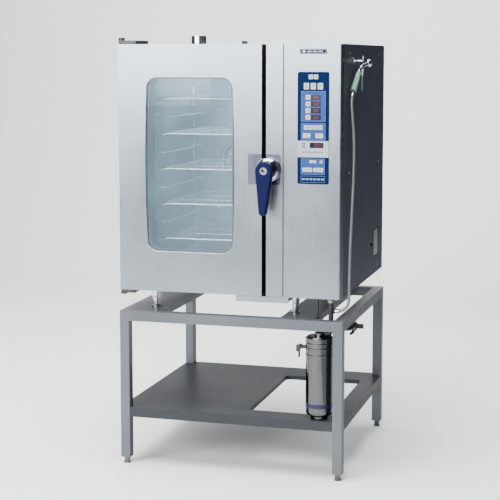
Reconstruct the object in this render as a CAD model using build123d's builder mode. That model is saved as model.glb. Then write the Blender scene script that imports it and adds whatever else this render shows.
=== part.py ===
"""Combi steamer oven on an open stand: cabinet, cooking chamber, hinged glass door, controls,
spray hose and water filter.  Millimetres, +Z up, +X to the right, +Y to the back, origin on the
floor under the middle of the whole.

Heights and places are written from the cabinet's datum: the front left bottom corner of the
cabinet, in the plane of the door's face.  level(z), front(y) and side(x) are planes at that datum.
"""
import os
from math import pi, radians, tan

from build123d import *

os.makedirs("parts", exist_ok=True)

# ---------------------------------------------------------------- cabinet
CABINET_WIDTH = 900.0
CABINET_DEPTH = 850.0
CABINET_HEIGHT = 970.0
SHEET = 1.5                   # outer panels
DOOR_WIDTH = 584.0
DOOR_GAP = 18.0               # open gap between the door and the strip
STRIP_WIDTH = 67.0
SEAM = 1.0                    # visible joint between neighbouring panels
STRIP_LEFT = DOOR_WIDTH + DOOR_GAP
FASCIA_LEFT = STRIP_LEFT + STRIP_WIDTH + SEAM
FASCIA_RETURN = 114.0         # how far the fascia wraps round the right side
FASCIA_CORNER = 12.0          # outside radius of the fascia's vertical corner
PANEL_TOP = CABINET_HEIGHT - SHEET
PANEL_BACK = CABINET_DEPTH - SHEET
FLANGE = 14.0                 # turned edge of the base pan
DOOR_DEPTH = 75.0             # door's face to the back of its inner casing
GASKET_ROOM = 5.0             # from the door's inner casing to the front frame's face
BODY_FRONT = DOOR_DEPTH + GASKET_ROOM
COVER_TOP = 27.0              # cabinet's top down to the service cover's top
COVER_REAR = 108.0            # cabinet's back forward to the cover's rear edge
COVER_FOOT = 12.0
WELD_GAP = 0.3                # open line between pieces that are welded at their ends

# ---------------------------------------------------------------- cooking chamber
CHAMBER_LEFT = 95.0
CHAMBER_WIDTH = 420.0
CHAMBER_BOTTOM = 80.0
CHAMBER_ROOF = 90.0           # from the chamber's top up to the cabinet's top
CHAMBER_HEIGHT = CABINET_HEIGHT - CHAMBER_ROOF - CHAMBER_BOTTOM
BAFFLE_ROOM = 63.5            # from the baffle's face to the chamber's back
CHAMBER_DEPTH = 622.0
CHAMBER_CORNER = 20.0
LINER = 1.2
INSULATION = 25.0
CHAMBER_X = CHAMBER_LEFT + CHAMBER_WIDTH / 2
CHAMBER_FRONT = BODY_FRONT + SHEET
CHAMBER_BACK = CHAMBER_FRONT + CHAMBER_DEPTH
FAN_Z = CHAMBER_BOTTOM + CHAMBER_HEIGHT / 2

GN_WIDTH = 325.0              # a 1/1 gastronorm shelf
GN_LENGTH = 530.0
LEVELS = 10
LEVEL_PITCH = 70.0
FIRST_LEVEL = 128.0
SHELF_ROD = 3.0               # radius of the shelf's outer rod
SHELF_WIRE = 1.6              # radius of the wires laid across it
SHELF_WIRES = 11
SHELF_FRONT = 104.0
REST_GAP = 0.4                # a shelf rests this far above its rail
RAIL_ROD = 3.0
UPRIGHT_ROD = 4.0
RAIL_INSET = 10.0             # the rail's centre, inside the shelf's edge
RACK_TO_WALL = 9.0

BAFFLE_WIDTH = 246.0
BAFFLE_HEIGHT = 484.0
BAFFLE_CORNER = 42.0
BAFFLE_FRONT = CHAMBER_BACK - BAFFLE_ROOM
INTAKE_RADIUS = 85.0
WHEEL_RADIUS = 98.0
WHEEL_DEPTH = 36.0
BLADES = 12
SHAFT_RADIUS = 8.0
RUNNING_FIT = 0.05            # radial clearance of a shaft or pin in its bore
HEATER_RADIUS = 113.0
HEATER_ROD = 4.0
HEATER_RINGS = 3
MOTOR_RADIUS = 62.0
POST_RADIUS = 5.0             # posts that hold the motor off the liner
MOTOR_POSTS = [(-52.0, -52.0), (52.0, -52.0), (-52.0, 52.0), (52.0, 52.0)]

# ---------------------------------------------------------------- door
WINDOW_LEFT = 110.0           # at the widest, halfway up
WINDOW_STILE = 109.0          # from the window to the door's right edge
WINDOW_RIGHT = DOOR_WIDTH - WINDOW_STILE
WINDOW_BOTTOM = 159.0
WINDOW_HEADER = 126.0         # from the window up to the cabinet's top
WINDOW_TOP = CABINET_HEIGHT - WINDOW_HEADER
WINDOW_BOW = 9.0              # how far each side bows outwards
WINDOW_CORNER = 40.0
WINDOW_REVEAL = 8.0           # the tunnel is this much smaller all round
GLASS = 5.0
GLASS_LAP = 16.0
GASKET = 12.0
GASKET_CLEAR = 0.6            # between the gasket and the shut door
HINGE_X = 8.0
HINGE_Y = 20.0
HINGE_PIN = 6.0
HINGE_CAP = 13.0
HINGE_PLATE = 14.0
HINGE_GAP = 1.0               # between a hinge plate and the door
BUSH_DEPTH = 22.0

# ---------------------------------------------------------------- latch and handle
HANDLE_REACH = 28.0           # from the door's right edge to the handle's axis
HANDLE_X = DOOR_WIDTH + HANDLE_REACH
HANDLE_Z = 492.0
LATCH_HEIGHT = 118.0
LATCH_REACH = 54.0            # width of each half of the square plate
LATCH_PLATE = 3.0
LATCH_CLEAR = 1.2             # between the door's latch and the strip's plate
LATCH_DISC = 4.0
DOME_RADIUS = 48.0
DOME_TOP = 36.0
DOME_FRONT = 28.0
SPINDLE = 9.0
LEVER_FRONT = 78.0
LEVER_THICK = 27.0
LEVER_HEAD = 34.0
LEVER_TIP = 15.0
LEVER_LENGTH = 157.0
LEVER_LEAN = 5.0
LEVER_NECK = 24.0

# ---------------------------------------------------------------- controls
OVERLAY_INSET = 55.6          # from the fascia's left edge
OVERLAY_WIDTH = 121.8
OVERLAY_LEFT = FASCIA_LEFT + OVERLAY_INSET
OVERLAY_RIGHT = OVERLAY_LEFT + OVERLAY_WIDTH
OVERLAY_BOTTOM = 440.7
OVERLAY_TOP = 865.0
OVERLAY = 3.0
KEY_GAP = 0.3
KEY_PROUD = 0.8
KEY_DEPTH = 2.6
DISPLAY_X = OVERLAY_LEFT + 71.4                 # column of four small displays
DISPLAY_WIDTH = 38.0
DISPLAY_HEIGHT = 20.0
DISPLAY_TOP_Z = 769.5
DISPLAY_PITCH = 25.1
TIMER_WINDOW = (OVERLAY_LEFT + 75.0, 588.2, 53.5, 20.6)      # x, z, width, height
KEYS = {                      # x, z, width, height
    "power_key_left": (OVERLAY_LEFT + 51.3, 846.3, 17.0, 17.0),
    "power_key_right": (OVERLAY_LEFT + 71.3, 846.3, 17.0, 17.0),
    "arrow_key_1": (OVERLAY_LEFT + 32.9, 655.8, 16.0, 17.0),
    "arrow_key_2": (OVERLAY_LEFT + 51.6, 655.8, 16.0, 17.0),
    "arrow_key_3": (OVERLAY_LEFT + 70.2, 655.8, 16.0, 17.0),
    "arrow_key_4": (OVERLAY_LEFT + 88.9, 655.8, 16.0, 17.0),
    "start_key": (OVERLAY_LEFT + 38.9, 495.4, 38.0, 15.6),
    "stop_key": (OVERLAY_LEFT + 81.6, 495.4, 38.0, 15.6),
}
KEY_CORNER = 2.5

# ---------------------------------------------------------------- feet and stand
OVEN_FOOT_HEIGHT = 87.0
FOOT_LEFT = 100.0
FOOT_RIGHT = 683.0
FOOT_FRONT = 146.0
FOOT_TO_REAR = 130.0          # from the rear feet to the cabinet's back
FOOT_REAR = CABINET_DEPTH - FOOT_TO_REAR
TUBE = 40.0                   # square tube of the stand
TUBE_WALL = 1.5
STAND_FRONT = 2.0
STAND_SIDE = 6.0              # the stand stands out this far at each side
STAND_REAR = 12.0             # and this far at the back
STAND_WIDTH = CABINET_WIDTH + 2 * STAND_SIDE
STAND_DEPTH = CABINET_DEPTH + STAND_REAR - STAND_FRONT
STAND_HEIGHT = 600.0
LEVELLER_HEIGHT = 27.0
LEVELLER_RADIUS = 13.5
LEVELLER_STEM = 6.0
LEG_PLUG = 8.0
PLATE = 3.0
PLATE_LIP = 28.0
LEFT_PLATE_EDGE = 156.0
RIGHT_PLATE_LEFT = 649.0
LEG_INSIDE = CABINET_WIDTH + STAND_SIDE - TUBE  # right legs' inner side
RIGHT_PLATE_EDGE = LEG_INSIDE - 81.0
UNDERSHELF_DROP = 393.0       # stand's top down to the undershelf's top
UNDERSHELF_FLANGE = 38.5
CUTOUT = (505.0, CABINET_WIDTH - 62.0, 97.0, CABINET_DEPTH - 140.0)     # x and y bounds
CUTOUT_CORNER = 22.0
CUTOUT_LIP = 18.0
STAND_LEFT = -STAND_SIDE
STAND_TOP = -OVEN_FOOT_HEIGHT
UNDERSHELF = STAND_TOP - UNDERSHELF_DROP
LEG_BOTTOM = STAND_TOP - STAND_HEIGHT
FLOOR = LEG_BOTTOM - LEVELLER_HEIGHT

# ---------------------------------------------------------------- drip tray
TRAY_LEFT = 476.0
TRAY_RIGHT = 688.0
TRAY_FRONT = 12.0
TRAY_LENGTH = 98.0
TRAY_TOP = -3.0
TRAY_DEPTH = 23.0
TRAY_LEDGE = 7.0
TRAY_GAP = 0.8

# ---------------------------------------------------------------- spray gun and hose
GUN_X = CABINET_WIDTH + 22.0
GRIP_RADIUS = 12.0
GRIP_TOP = (GUN_X - 1, 192.0, 868.0)
GRIP_END = (CABINET_WIDTH + 14.5, 118.0, 790.0)
GUN_ELBOW = (GUN_X, 222.0, 884.0)
SPRAY_HEAD = (CABINET_WIDTH + 36.0, 318.0, 897.0)
HEAD_RADIUS = 15.0
FERRULE_END = (GRIP_END[0], 110.0, 781.0)
GUN_HOOK = (196.0, 905.0)     # y and z of its wall flange
TRIGGER_PIVOT = (240.0, 871.0)                  # y and z of its pin
TRIGGER_END = (222.0, 790.0)
TRIGGER_PIN = 3.0
TRIGGER_SIDE = 3.4            # the lever lies this far to the side of the gun's middle plane
TRIGGER_THICK = 5.0
HOSE_RADIUS = 6.0
HOSE_ROUTE = [
    (914.5, 110.0, 781.0),
    (914.5, 86.0, 754.0),
    (919.0, 90.0, 692.0),
    (923.0, 103.0, 604.0),
    (924.0, 97.0, 480.0),
    (921.5, 80.0, 338.0),
    (919.0, 64.0, 200.0),
    (918.0, 57.0, 112.0),
    (916.5, 58.0, 24.0),
    (917.0, 61.0, -22.0),
    (904.5, 62.0, -43.0),
    (884.0, 62.0, -55.0),
    (862.0, 62.0, -55.0),
]

# ---------------------------------------------------------------- water filter and pipes
FILTER_RADIUS = 54.0
RISER_RADIUS = 9.0
FILTER_X = LEG_INSIDE - FILTER_RADIUS - 8.0
FILTER_Y = STAND_FRONT + TUBE + RISER_RADIUS + 1.0
FILTER_WALL = 2.0
FILTER_SHOULDER = -176.0
FILTER_LID = -153.0
KNOB_RADIUS = 20.0
RISER_X = LEG_INSIDE - RISER_RADIUS - 9.0
VENT_X = 138.0
VENT_Y = 600.0
VENT_RADIUS = 32.5
VENT_PROUD = 42.0
VENT_BOX = (252.0, 343.0, 556.0, 646.0)         # x and y bounds
VENT_BOX_HEIGHT = 20.0
DRAIN_RADIUS = 19.0
DRAIN_Y = 380.0
DRAIN_BEND = 30.0
DRAIN_Z = SHEET + FLANGE + DRAIN_RADIUS + 0.5
DRAIN_PROUD = 45.0
TAP_Z = -200.0
DRAIN_BEAD = 3.0              # height and length of the ring that stops a drain hose
VALVE = (CABINET_WIDTH - 14.0, 300.0, -158.0)
VALVE_BODY = 15.0
VALVE_COLLAR = 16.0           # from the valve's axis to its collar's face
INLET_RADIUS = 10.0
INLET_LENGTH = 25.0
UNION_RADIUS = 10.5
UNION_LENGTH = 24.0

# ---------------------------------------------------------------- the datum's place in the frame
REACH_RIGHT = SPRAY_HEAD[0] + HEAD_RADIUS
REACH_BACK = max(STAND_FRONT + STAND_DEPTH, CABINET_DEPTH + DRAIN_PROUD)
X0 = -(STAND_LEFT + REACH_RIGHT) / 2
Y0 = -(REACH_BACK - LEVER_FRONT) / 2
Z0 = -FLOOR


def level(z):
    """Horizontal plane at height z above the cabinet's underside; sketch axes X and Y."""
    return Plane(origin=(X0, Y0, Z0 + z))


def front(y):
    """Upright plane at depth y behind the door's face, facing the user; sketch axes X and Z."""
    return Plane(origin=(X0, Y0 + y, Z0), x_dir=(1, 0, 0), z_dir=(0, -1, 0))


def side(x):
    """Upright plane at x from the cabinet's left side, facing right; sketch axes Y and Z."""
    return Plane(origin=(X0 + x, Y0, Z0), x_dir=(0, 1, 0), z_dir=(1, 0, 0))


def at(point):
    """A point given from the datum, in the model's frame."""
    return Vector(X0 + point[0], Y0 + point[1], Z0 + point[2])


def along(start, end):
    """Plane at the first point, facing the second."""
    return Plane(origin=at(start), z_dir=at(end) - at(start))


def span(x0, x1, y0, y1, radius=0.0, mode=Mode.ADD):
    """Rectangle between two pairs of bounds in the sketch in hand."""
    with Locations(((x0 + x1) / 2, (y0 + y1) / 2)):
        if radius:
            RectangleRounded(x1 - x0, y1 - y0, radius, mode=mode)
        else:
            Rectangle(x1 - x0, y1 - y0, mode=mode)


def slab(plane, bounds, thickness, radius=0.0, mode=Mode.ADD):
    """Plate on a plane, from bounds in that plane's sketch."""
    with BuildSketch(plane) as outline:
        span(*bounds, radius=radius)
    extrude(outline.sketch, amount=thickness, mode=mode)


def disc(plane, centre, radius, thickness, mode=Mode.ADD):
    """Round plate, post or hole on a plane."""
    with BuildSketch(plane) as outline:
        with Locations(centre):
            Circle(radius)
    extrude(outline.sketch, amount=thickness, mode=mode)


def pipe(points, radius, bend):
    """Round rod along straight runs joined by bends of one radius."""
    with BuildLine() as route:
        if len(points) == 2:
            Line(*[at(p) for p in points])
        else:
            FilletPolyline(*[at(p) for p in points], radius=bend)
    with BuildSketch(Plane(origin=at(points[0]), z_dir=route.line % 0)) as section:
        Circle(radius)
    sweep(section.sketch, path=route.line)


def save(piece, name):
    """Label a finished piece and write it out."""
    piece.part.label = name
    export_step(piece.part, f"parts/{name}.step")


# ================================================================ stand
leg_x = [STAND_LEFT, STAND_LEFT + STAND_WIDTH - TUBE]
leg_y = [STAND_FRONT, STAND_FRONT + STAND_DEPTH - TUBE]
STAND_RIGHT = STAND_LEFT + STAND_WIDTH
STAND_BACK = STAND_FRONT + STAND_DEPTH

with BuildPart() as stand_legs:
    for x in leg_x:
        for y in leg_y:
            slab(level(LEG_BOTTOM), (x, x + TUBE, y, y + TUBE), STAND_HEIGHT, radius=3.0)
            slab(level(LEG_BOTTOM + LEG_PLUG),
                 (x + TUBE_WALL, x + TUBE - TUBE_WALL, y + TUBE_WALL, y + TUBE - TUBE_WALL),
                 STAND_HEIGHT - LEG_PLUG - TUBE_WALL, mode=Mode.SUBTRACT)
            disc(level(LEG_BOTTOM), (x + TUBE / 2, y + TUBE / 2), LEVELLER_STEM + RUNNING_FIT,
                 LEG_PLUG, mode=Mode.SUBTRACT)
save(stand_legs, "stand_legs")

with BuildPart() as levelling_feet:
    for x in leg_x:
        for y in leg_y:
            centre = (x + TUBE / 2, y + TUBE / 2)
            with BuildSketch(level(FLOOR)):
                with Locations(centre):
                    Circle(LEVELLER_RADIUS)
            with BuildSketch(level(FLOOR + 5.0)):
                with Locations(centre):
                    Circle(LEVELLER_RADIUS)
            loft()
            disc(level(FLOOR + 5.0), centre, LEVELLER_RADIUS - 2.0, LEVELLER_HEIGHT - 12.0)
            with BuildSketch(level(LEG_BOTTOM - 7.0)):
                with Locations(centre):
                    RegularPolygon(LEVELLER_RADIUS, 6)
            extrude(amount=7.0)
            disc(level(LEG_BOTTOM), centre, LEVELLER_STEM, LEG_PLUG + 20.0)
save(levelling_feet, "levelling_feet")


def tube_along_x(x0, x1, y0, top):
    """Square tube between two x bounds, its outside at y0 and its top at the given height."""
    slab(side(x0), (y0, y0 + TUBE, top - TUBE, top), x1 - x0)
    slab(side(x0), (y0 + TUBE_WALL, y0 + TUBE - TUBE_WALL, top - TUBE + TUBE_WALL,
                    top - TUBE_WALL), x1 - x0, mode=Mode.SUBTRACT)


def tube_along_y(y0, y1, x0, top):
    """Square tube between two y bounds."""
    slab(front(y0), (x0, x0 + TUBE, top - TUBE, top), y0 - y1)
    slab(front(y0), (x0 + TUBE_WALL, x0 + TUBE - TUBE_WALL, top - TUBE + TUBE_WALL,
                     top - TUBE_WALL), y0 - y1, mode=Mode.SUBTRACT)


with BuildPart() as stand_top_frame:
    inner_left = STAND_LEFT + TUBE
    inner_right = STAND_RIGHT - TUBE
    inner_front = STAND_FRONT + TUBE
    inner_back = STAND_BACK - TUBE
    for y in leg_y:
        tube_along_x(inner_left + WELD_GAP, inner_right - WELD_GAP, y, STAND_TOP)
    for x in leg_x:
        tube_along_y(inner_front, inner_back, x, STAND_TOP)
    for x0, x1 in ((inner_left, LEFT_PLATE_EDGE), (RIGHT_PLATE_LEFT, RIGHT_PLATE_EDGE)):
        slab(level(STAND_TOP - PLATE), (x0, x1, inner_front, inner_back), PLATE)
    for x in (LEFT_PLATE_EDGE - PLATE, RIGHT_PLATE_LEFT, RIGHT_PLATE_EDGE - PLATE):
        slab(level(STAND_TOP - PLATE_LIP), (x, x + PLATE, inner_front, inner_back), PLATE_LIP)
save(stand_top_frame, "stand_top_frame")

with BuildPart() as stand_undershelf:
    outline = (STAND_LEFT, STAND_RIGHT, STAND_FRONT, STAND_BACK)
    slab(level(UNDERSHELF - UNDERSHELF_FLANGE), outline, UNDERSHELF_FLANGE)
    slab(level(UNDERSHELF - UNDERSHELF_FLANGE),
         (STAND_LEFT + TUBE_WALL, STAND_RIGHT - TUBE_WALL,
          STAND_FRONT + TUBE_WALL, STAND_BACK - TUBE_WALL),
         UNDERSHELF_FLANGE - TUBE_WALL, mode=Mode.SUBTRACT)
    for x in leg_x:
        for y in leg_y:
            slab(level(UNDERSHELF - UNDERSHELF_FLANGE), (x, x + TUBE, y, y + TUBE),
                 UNDERSHELF_FLANGE, mode=Mode.SUBTRACT)
    slab(level(UNDERSHELF - CUTOUT_LIP),
         (CUTOUT[0] - TUBE_WALL, CUTOUT[1] + TUBE_WALL, CUTOUT[2] - TUBE_WALL,
          CUTOUT[3] + TUBE_WALL), CUTOUT_LIP, radius=CUTOUT_CORNER + TUBE_WALL)
    slab(level(UNDERSHELF - CUTOUT_LIP), CUTOUT, CUTOUT_LIP, radius=CUTOUT_CORNER,
         mode=Mode.SUBTRACT)
save(stand_undershelf, "stand_undershelf")

with BuildPart() as oven_feet:
    for x in (FOOT_LEFT, FOOT_RIGHT):
        for y in (FOOT_FRONT, FOOT_REAR):
            with BuildSketch(front(y)):
                with BuildLine():
                    Polyline((x, 0), (x + 32, 0), (x + 32, -4), (x + 20, -6), (x + 16, -50),
                             (x + 12.5, -51), (x + 12.5, STAND_TOP + 7), (x + 19, STAND_TOP + 4),
                             (x + 19, STAND_TOP), (x, STAND_TOP), (x, 0))
                make_face()
            revolve(axis=Axis(at((x, y, 0)), (0, 0, 1)))
save(oven_feet, "oven_feet")

# ================================================================ cabinet
with BuildPart() as base_pan:
    corner = (CABINET_WIDTH - FASCIA_CORNER, CABINET_WIDTH, 0, FASCIA_CORNER)
    with BuildSketch(level(0)):
        span(0, STRIP_LEFT, BODY_FRONT + SHEET, PANEL_BACK)
        span(STRIP_LEFT, CABINET_WIDTH - SHEET, SHEET, PANEL_BACK)
        span(*corner, mode=Mode.SUBTRACT)
    extrude(amount=SHEET)
    with BuildSketch(level(SHEET)):
        span(SHEET, STRIP_LEFT, BODY_FRONT + SHEET, PANEL_BACK)
        span(STRIP_LEFT + SHEET, CABINET_WIDTH - SHEET, SHEET, PANEL_BACK)
        span(SHEET * 2, STRIP_LEFT + SHEET, BODY_FRONT + SHEET * 2, PANEL_BACK - SHEET,
             mode=Mode.SUBTRACT)
        span(STRIP_LEFT + SHEET * 2, CABINET_WIDTH - SHEET * 2, SHEET * 2, PANEL_BACK - SHEET,
             mode=Mode.SUBTRACT)
        span(*corner, mode=Mode.SUBTRACT)
    extrude(amount=FLANGE)
    # ledges that the drip tray slides on, hung from the pan and reaching forward under the door
    ledge_top = TRAY_TOP - SHEET - TRAY_GAP
    ledge_front = TRAY_FRONT + SHEET + 2.0
    ledge_back = TRAY_FRONT + TRAY_LENGTH
    for edge, out in ((TRAY_LEFT - TRAY_GAP, -1), (TRAY_RIGHT + TRAY_GAP, 1)):
        web = sorted((edge, edge + out * SHEET))
        shelf = sorted((edge + out * SHEET, edge - out * (TRAY_LEDGE - 1.0)))
        slab(level(ledge_top - SHEET), (*web, ledge_front, ledge_back), -1.0 - ledge_top)
        slab(level(ledge_top - SHEET), (*web, BODY_FRONT + SHEET, ledge_back), SHEET - ledge_top)
        slab(level(ledge_top - SHEET), (*shelf, ledge_front, ledge_back), SHEET)
save(base_pan, "base_pan")

with BuildPart() as left_panel:
    slab(side(0), (BODY_FRONT + SHEET, PANEL_BACK, SHEET, PANEL_TOP), SHEET)
save(left_panel, "left_panel")

with BuildPart() as rear_panel:
    slab(front(PANEL_BACK), (0, CABINET_WIDTH, 0, PANEL_TOP), -SHEET)
    with BuildSketch(front(PANEL_BACK)):
        with Locations((FASCIA_LEFT + 90, CABINET_HEIGHT / 2)):
            with GridLocations(120, 24, 1, 16):
                SlotOverall(150, 8)
        with Locations((CHAMBER_X, FAN_Z)):
            with GridLocations(120, 24, 1, 9):
                SlotOverall(150, 8)
        with Locations((CHAMBER_X, DRAIN_Z)):
            Circle(DRAIN_RADIUS + RUNNING_FIT)
    extrude(amount=-SHEET, mode=Mode.SUBTRACT)
save(rear_panel, "rear_panel")

with BuildPart() as top_panel:
    with BuildSketch(level(PANEL_TOP)):
        span(0, STRIP_LEFT, BODY_FRONT, CABINET_DEPTH)
        span(STRIP_LEFT, CABINET_WIDTH, 0, CABINET_DEPTH)
        with Locations((VENT_X, VENT_Y)):
            Circle(VENT_RADIUS + RUNNING_FIT, mode=Mode.SUBTRACT)
        span(VENT_BOX[0] + 12, VENT_BOX[1] - 12, VENT_BOX[2] + 12, VENT_BOX[3] - 12,
             mode=Mode.SUBTRACT)
    extrude(amount=SHEET)
    # low cowl over the chamber's pressure vent, open at the back
    slab(level(CABINET_HEIGHT), VENT_BOX, VENT_BOX_HEIGHT)
    slab(level(CABINET_HEIGHT), (VENT_BOX[0] + SHEET, VENT_BOX[1] - SHEET, VENT_BOX[2] + SHEET,
                                 VENT_BOX[3]), VENT_BOX_HEIGHT - SHEET, mode=Mode.SUBTRACT)
save(top_panel, "top_panel")

with BuildPart() as front_frame:
    slab(front(BODY_FRONT), (0, STRIP_LEFT, 0, PANEL_TOP), -SHEET)
    slab(front(BODY_FRONT),
         (CHAMBER_LEFT, CHAMBER_LEFT + CHAMBER_WIDTH, CHAMBER_BOTTOM,
          CHAMBER_BOTTOM + CHAMBER_HEIGHT), -SHEET, radius=CHAMBER_CORNER, mode=Mode.SUBTRACT)
save(front_frame, "front_frame")

with BuildPart() as latch_strip:
    slab(front(0), (STRIP_LEFT, STRIP_LEFT + STRIP_WIDTH, 0, PANEL_TOP), -SHEET)
    slab(side(STRIP_LEFT), (0, BODY_FRONT + SHEET, 0, PANEL_TOP), SHEET)
    slab(side(STRIP_LEFT + STRIP_WIDTH - SHEET), (0, 20, 0, PANEL_TOP), SHEET)
    slab(level(0), (STRIP_LEFT, CABINET_WIDTH - SHEET, 0, SHEET), SHEET, mode=Mode.SUBTRACT)
    slab(side(STRIP_LEFT), (SHEET, BODY_FRONT + SHEET, 0, SHEET + FLANGE), SHEET * 2,
         mode=Mode.SUBTRACT)
    slab(side(STRIP_LEFT + STRIP_WIDTH - SHEET), (SHEET, 20, 0, SHEET + FLANGE), SHEET,
         mode=Mode.SUBTRACT)
save(latch_strip, "latch_strip")

with BuildPart() as control_fascia:
    with BuildSketch(level(SHEET + FLANGE)):
        with BuildLine():
            FilletPolyline((FASCIA_LEFT, 0), (CABINET_WIDTH, 0), (CABINET_WIDTH, FASCIA_RETURN),
                           radius=FASCIA_CORNER)
            Line((CABINET_WIDTH, FASCIA_RETURN), (CABINET_WIDTH - SHEET, FASCIA_RETURN))
            FilletPolyline((CABINET_WIDTH - SHEET, FASCIA_RETURN), (CABINET_WIDTH - SHEET, SHEET),
                           (FASCIA_LEFT, SHEET), radius=FASCIA_CORNER - SHEET)
            Line((FASCIA_LEFT, SHEET), (FASCIA_LEFT, 0))
        make_face()
    extrude(amount=PANEL_TOP - SHEET - FLANGE)
    extrude(control_fascia.faces().sort_by(Axis.Z)[0], amount=FLANGE + SHEET)
save(control_fascia, "control_fascia")

COVER = (FASCIA_RETURN + SEAM, CABINET_DEPTH - COVER_REAR, COVER_FOOT, CABINET_HEIGHT - COVER_TOP)
with BuildPart() as side_frame:
    slab(side(CABINET_WIDTH - SHEET), (FASCIA_RETURN, PANEL_BACK, SHEET, PANEL_TOP), SHEET)
    slab(side(CABINET_WIDTH - SHEET), (COVER[0] - SEAM, COVER[1] + SEAM, COVER[2] - SEAM,
                                       COVER[3] + SEAM), SHEET, mode=Mode.SUBTRACT)
    # joggled ledge behind the cover
    ledge = side(CABINET_WIDTH - SHEET * 2)
    slab(ledge, (COVER[0] - SEAM, COVER[1] + 14, COVER[2] + FLANGE, COVER[3] + 14), SHEET)
    slab(ledge, (COVER[0] + 14, COVER[1] - 14, COVER[2] + FLANGE + 14, COVER[3] - 14), SHEET,
         mode=Mode.SUBTRACT)
save(side_frame, "side_frame")

with BuildPart() as side_cover:
    slab(side(CABINET_WIDTH - SHEET), COVER, SHEET)
    with BuildSketch(side(CABINET_WIDTH - SHEET)):
        with Locations((COVER[1] - 138, COVER[2] + 122)):
            SlotOverall(50, 13)
    extrude(amount=SHEET, mode=Mode.SUBTRACT)
save(side_cover, "side_cover")

with BuildPart() as cover_screws:
    for y in (COVER[0] + 8, COVER[1] - 8):
        for z in (COVER[2] + FLANGE + 7, (COVER[2] + COVER[3]) / 2, COVER[3] - 8):
            with BuildSketch(side(CABINET_WIDTH)):
                with Locations((y, z)):
                    Circle(5.0)
            extrude(amount=2.4, taper=18)
save(cover_screws, "cover_screws")

with BuildPart() as blank_plates:
    slab(front(0), (OVERLAY_LEFT + 7.9, OVERLAY_LEFT + 112.1, CABINET_HEIGHT - 38.2,
                    CABINET_HEIGHT - 19), 1.0, radius=2.0)
    slab(side(CABINET_WIDTH), (COVER[1] - 102, COVER[1] - 8, COVER[2] + 66, COVER[2] + 180), 0.8,
         radius=2.0)
save(blank_plates, "blank_plates")

with BuildPart() as vent_pipe:
    vent_foot = CHAMBER_BOTTOM + CHAMBER_HEIGHT + LINER
    disc(level(vent_foot), (VENT_X, VENT_Y), VENT_RADIUS,
         CABINET_HEIGHT + VENT_PROUD - vent_foot)
    disc(level(CABINET_HEIGHT), (VENT_X, VENT_Y), VENT_RADIUS + 9, 2.0)
    disc(level(vent_foot), (VENT_X, VENT_Y), VENT_RADIUS - SHEET,
         CABINET_HEIGHT + VENT_PROUD - vent_foot, mode=Mode.SUBTRACT)
save(vent_pipe, "vent_pipe")

# ================================================================ cooking chamber
STEAM_Y = 560.0
STEAM_Z = 330.0
STEAM_RADIUS = 20.0


def chamber_bounds(grow):
    """Bounds of the chamber's section, grown all round."""
    return (CHAMBER_LEFT - grow, CHAMBER_LEFT + CHAMBER_WIDTH + grow, CHAMBER_BOTTOM - grow,
            CHAMBER_BOTTOM + CHAMBER_HEIGHT + grow)


with BuildPart() as cavity_liner:
    slab(front(CHAMBER_FRONT), chamber_bounds(LINER), -CHAMBER_DEPTH - LINER,
         radius=CHAMBER_CORNER + LINER)
    slab(front(CHAMBER_FRONT), chamber_bounds(0), -CHAMBER_DEPTH, radius=CHAMBER_CORNER,
         mode=Mode.SUBTRACT)
    disc(front(CHAMBER_BACK), (CHAMBER_X, FAN_Z), SHAFT_RADIUS + 4, -LINER, mode=Mode.SUBTRACT)
    disc(level(CHAMBER_BOTTOM - LINER), (CHAMBER_X, DRAIN_Y), DRAIN_RADIUS - 3, LINER,
         mode=Mode.SUBTRACT)
    disc(level(CHAMBER_BOTTOM + CHAMBER_HEIGHT), (VENT_X, VENT_Y), VENT_RADIUS - SHEET, LINER,
         mode=Mode.SUBTRACT)
    disc(side(CHAMBER_LEFT + CHAMBER_WIDTH), (STEAM_Y, STEAM_Z), STEAM_RADIUS - 2, LINER,
         mode=Mode.SUBTRACT)
save(cavity_liner, "cavity_liner")

with BuildPart() as cavity_insulation:
    fit = LINER + 0.2
    slab(front(CHAMBER_FRONT), chamber_bounds(INSULATION), -CHAMBER_DEPTH - INSULATION,
         radius=CHAMBER_CORNER)
    slab(front(CHAMBER_FRONT), chamber_bounds(fit), -CHAMBER_DEPTH - fit,
         radius=CHAMBER_CORNER + fit, mode=Mode.SUBTRACT)
    disc(front(CHAMBER_BACK), (CHAMBER_X, FAN_Z), SHAFT_RADIUS + 8, -INSULATION,
         mode=Mode.SUBTRACT)
    slab(level(CHAMBER_BOTTOM - INSULATION),
         (CHAMBER_X - DRAIN_RADIUS - 1, CHAMBER_X + DRAIN_RADIUS + 1,
          DRAIN_Y - DRAIN_RADIUS - 1, DRAIN_Y + DRAIN_BEND + DRAIN_RADIUS), INSULATION,
         mode=Mode.SUBTRACT)
    for x, z in MOTOR_POSTS:
        disc(front(CHAMBER_BACK), (CHAMBER_X + x, FAN_Z + z), POST_RADIUS + 1, -INSULATION,
             mode=Mode.SUBTRACT)
    disc(level(CHAMBER_BOTTOM + CHAMBER_HEIGHT), (VENT_X, VENT_Y), VENT_RADIUS + 1, INSULATION,
         mode=Mode.SUBTRACT)
    disc(side(CHAMBER_LEFT + CHAMBER_WIDTH), (STEAM_Y, STEAM_Z), STEAM_RADIUS + 1, INSULATION,
         mode=Mode.SUBTRACT)
save(cavity_insulation, "cavity_insulation")

shelf_left = CHAMBER_X - GN_WIDTH / 2
shelf_right = CHAMBER_X + GN_WIDTH / 2
rack_front = SHELF_FRONT + 14.0
rack_back = BAFFLE_FRONT - 16.0
rail_drop = SHELF_ROD + REST_GAP + RAIL_ROD

rack_sides = ((CHAMBER_LEFT, shelf_left, 1), (CHAMBER_LEFT + CHAMBER_WIDTH, shelf_right, -1))

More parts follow.
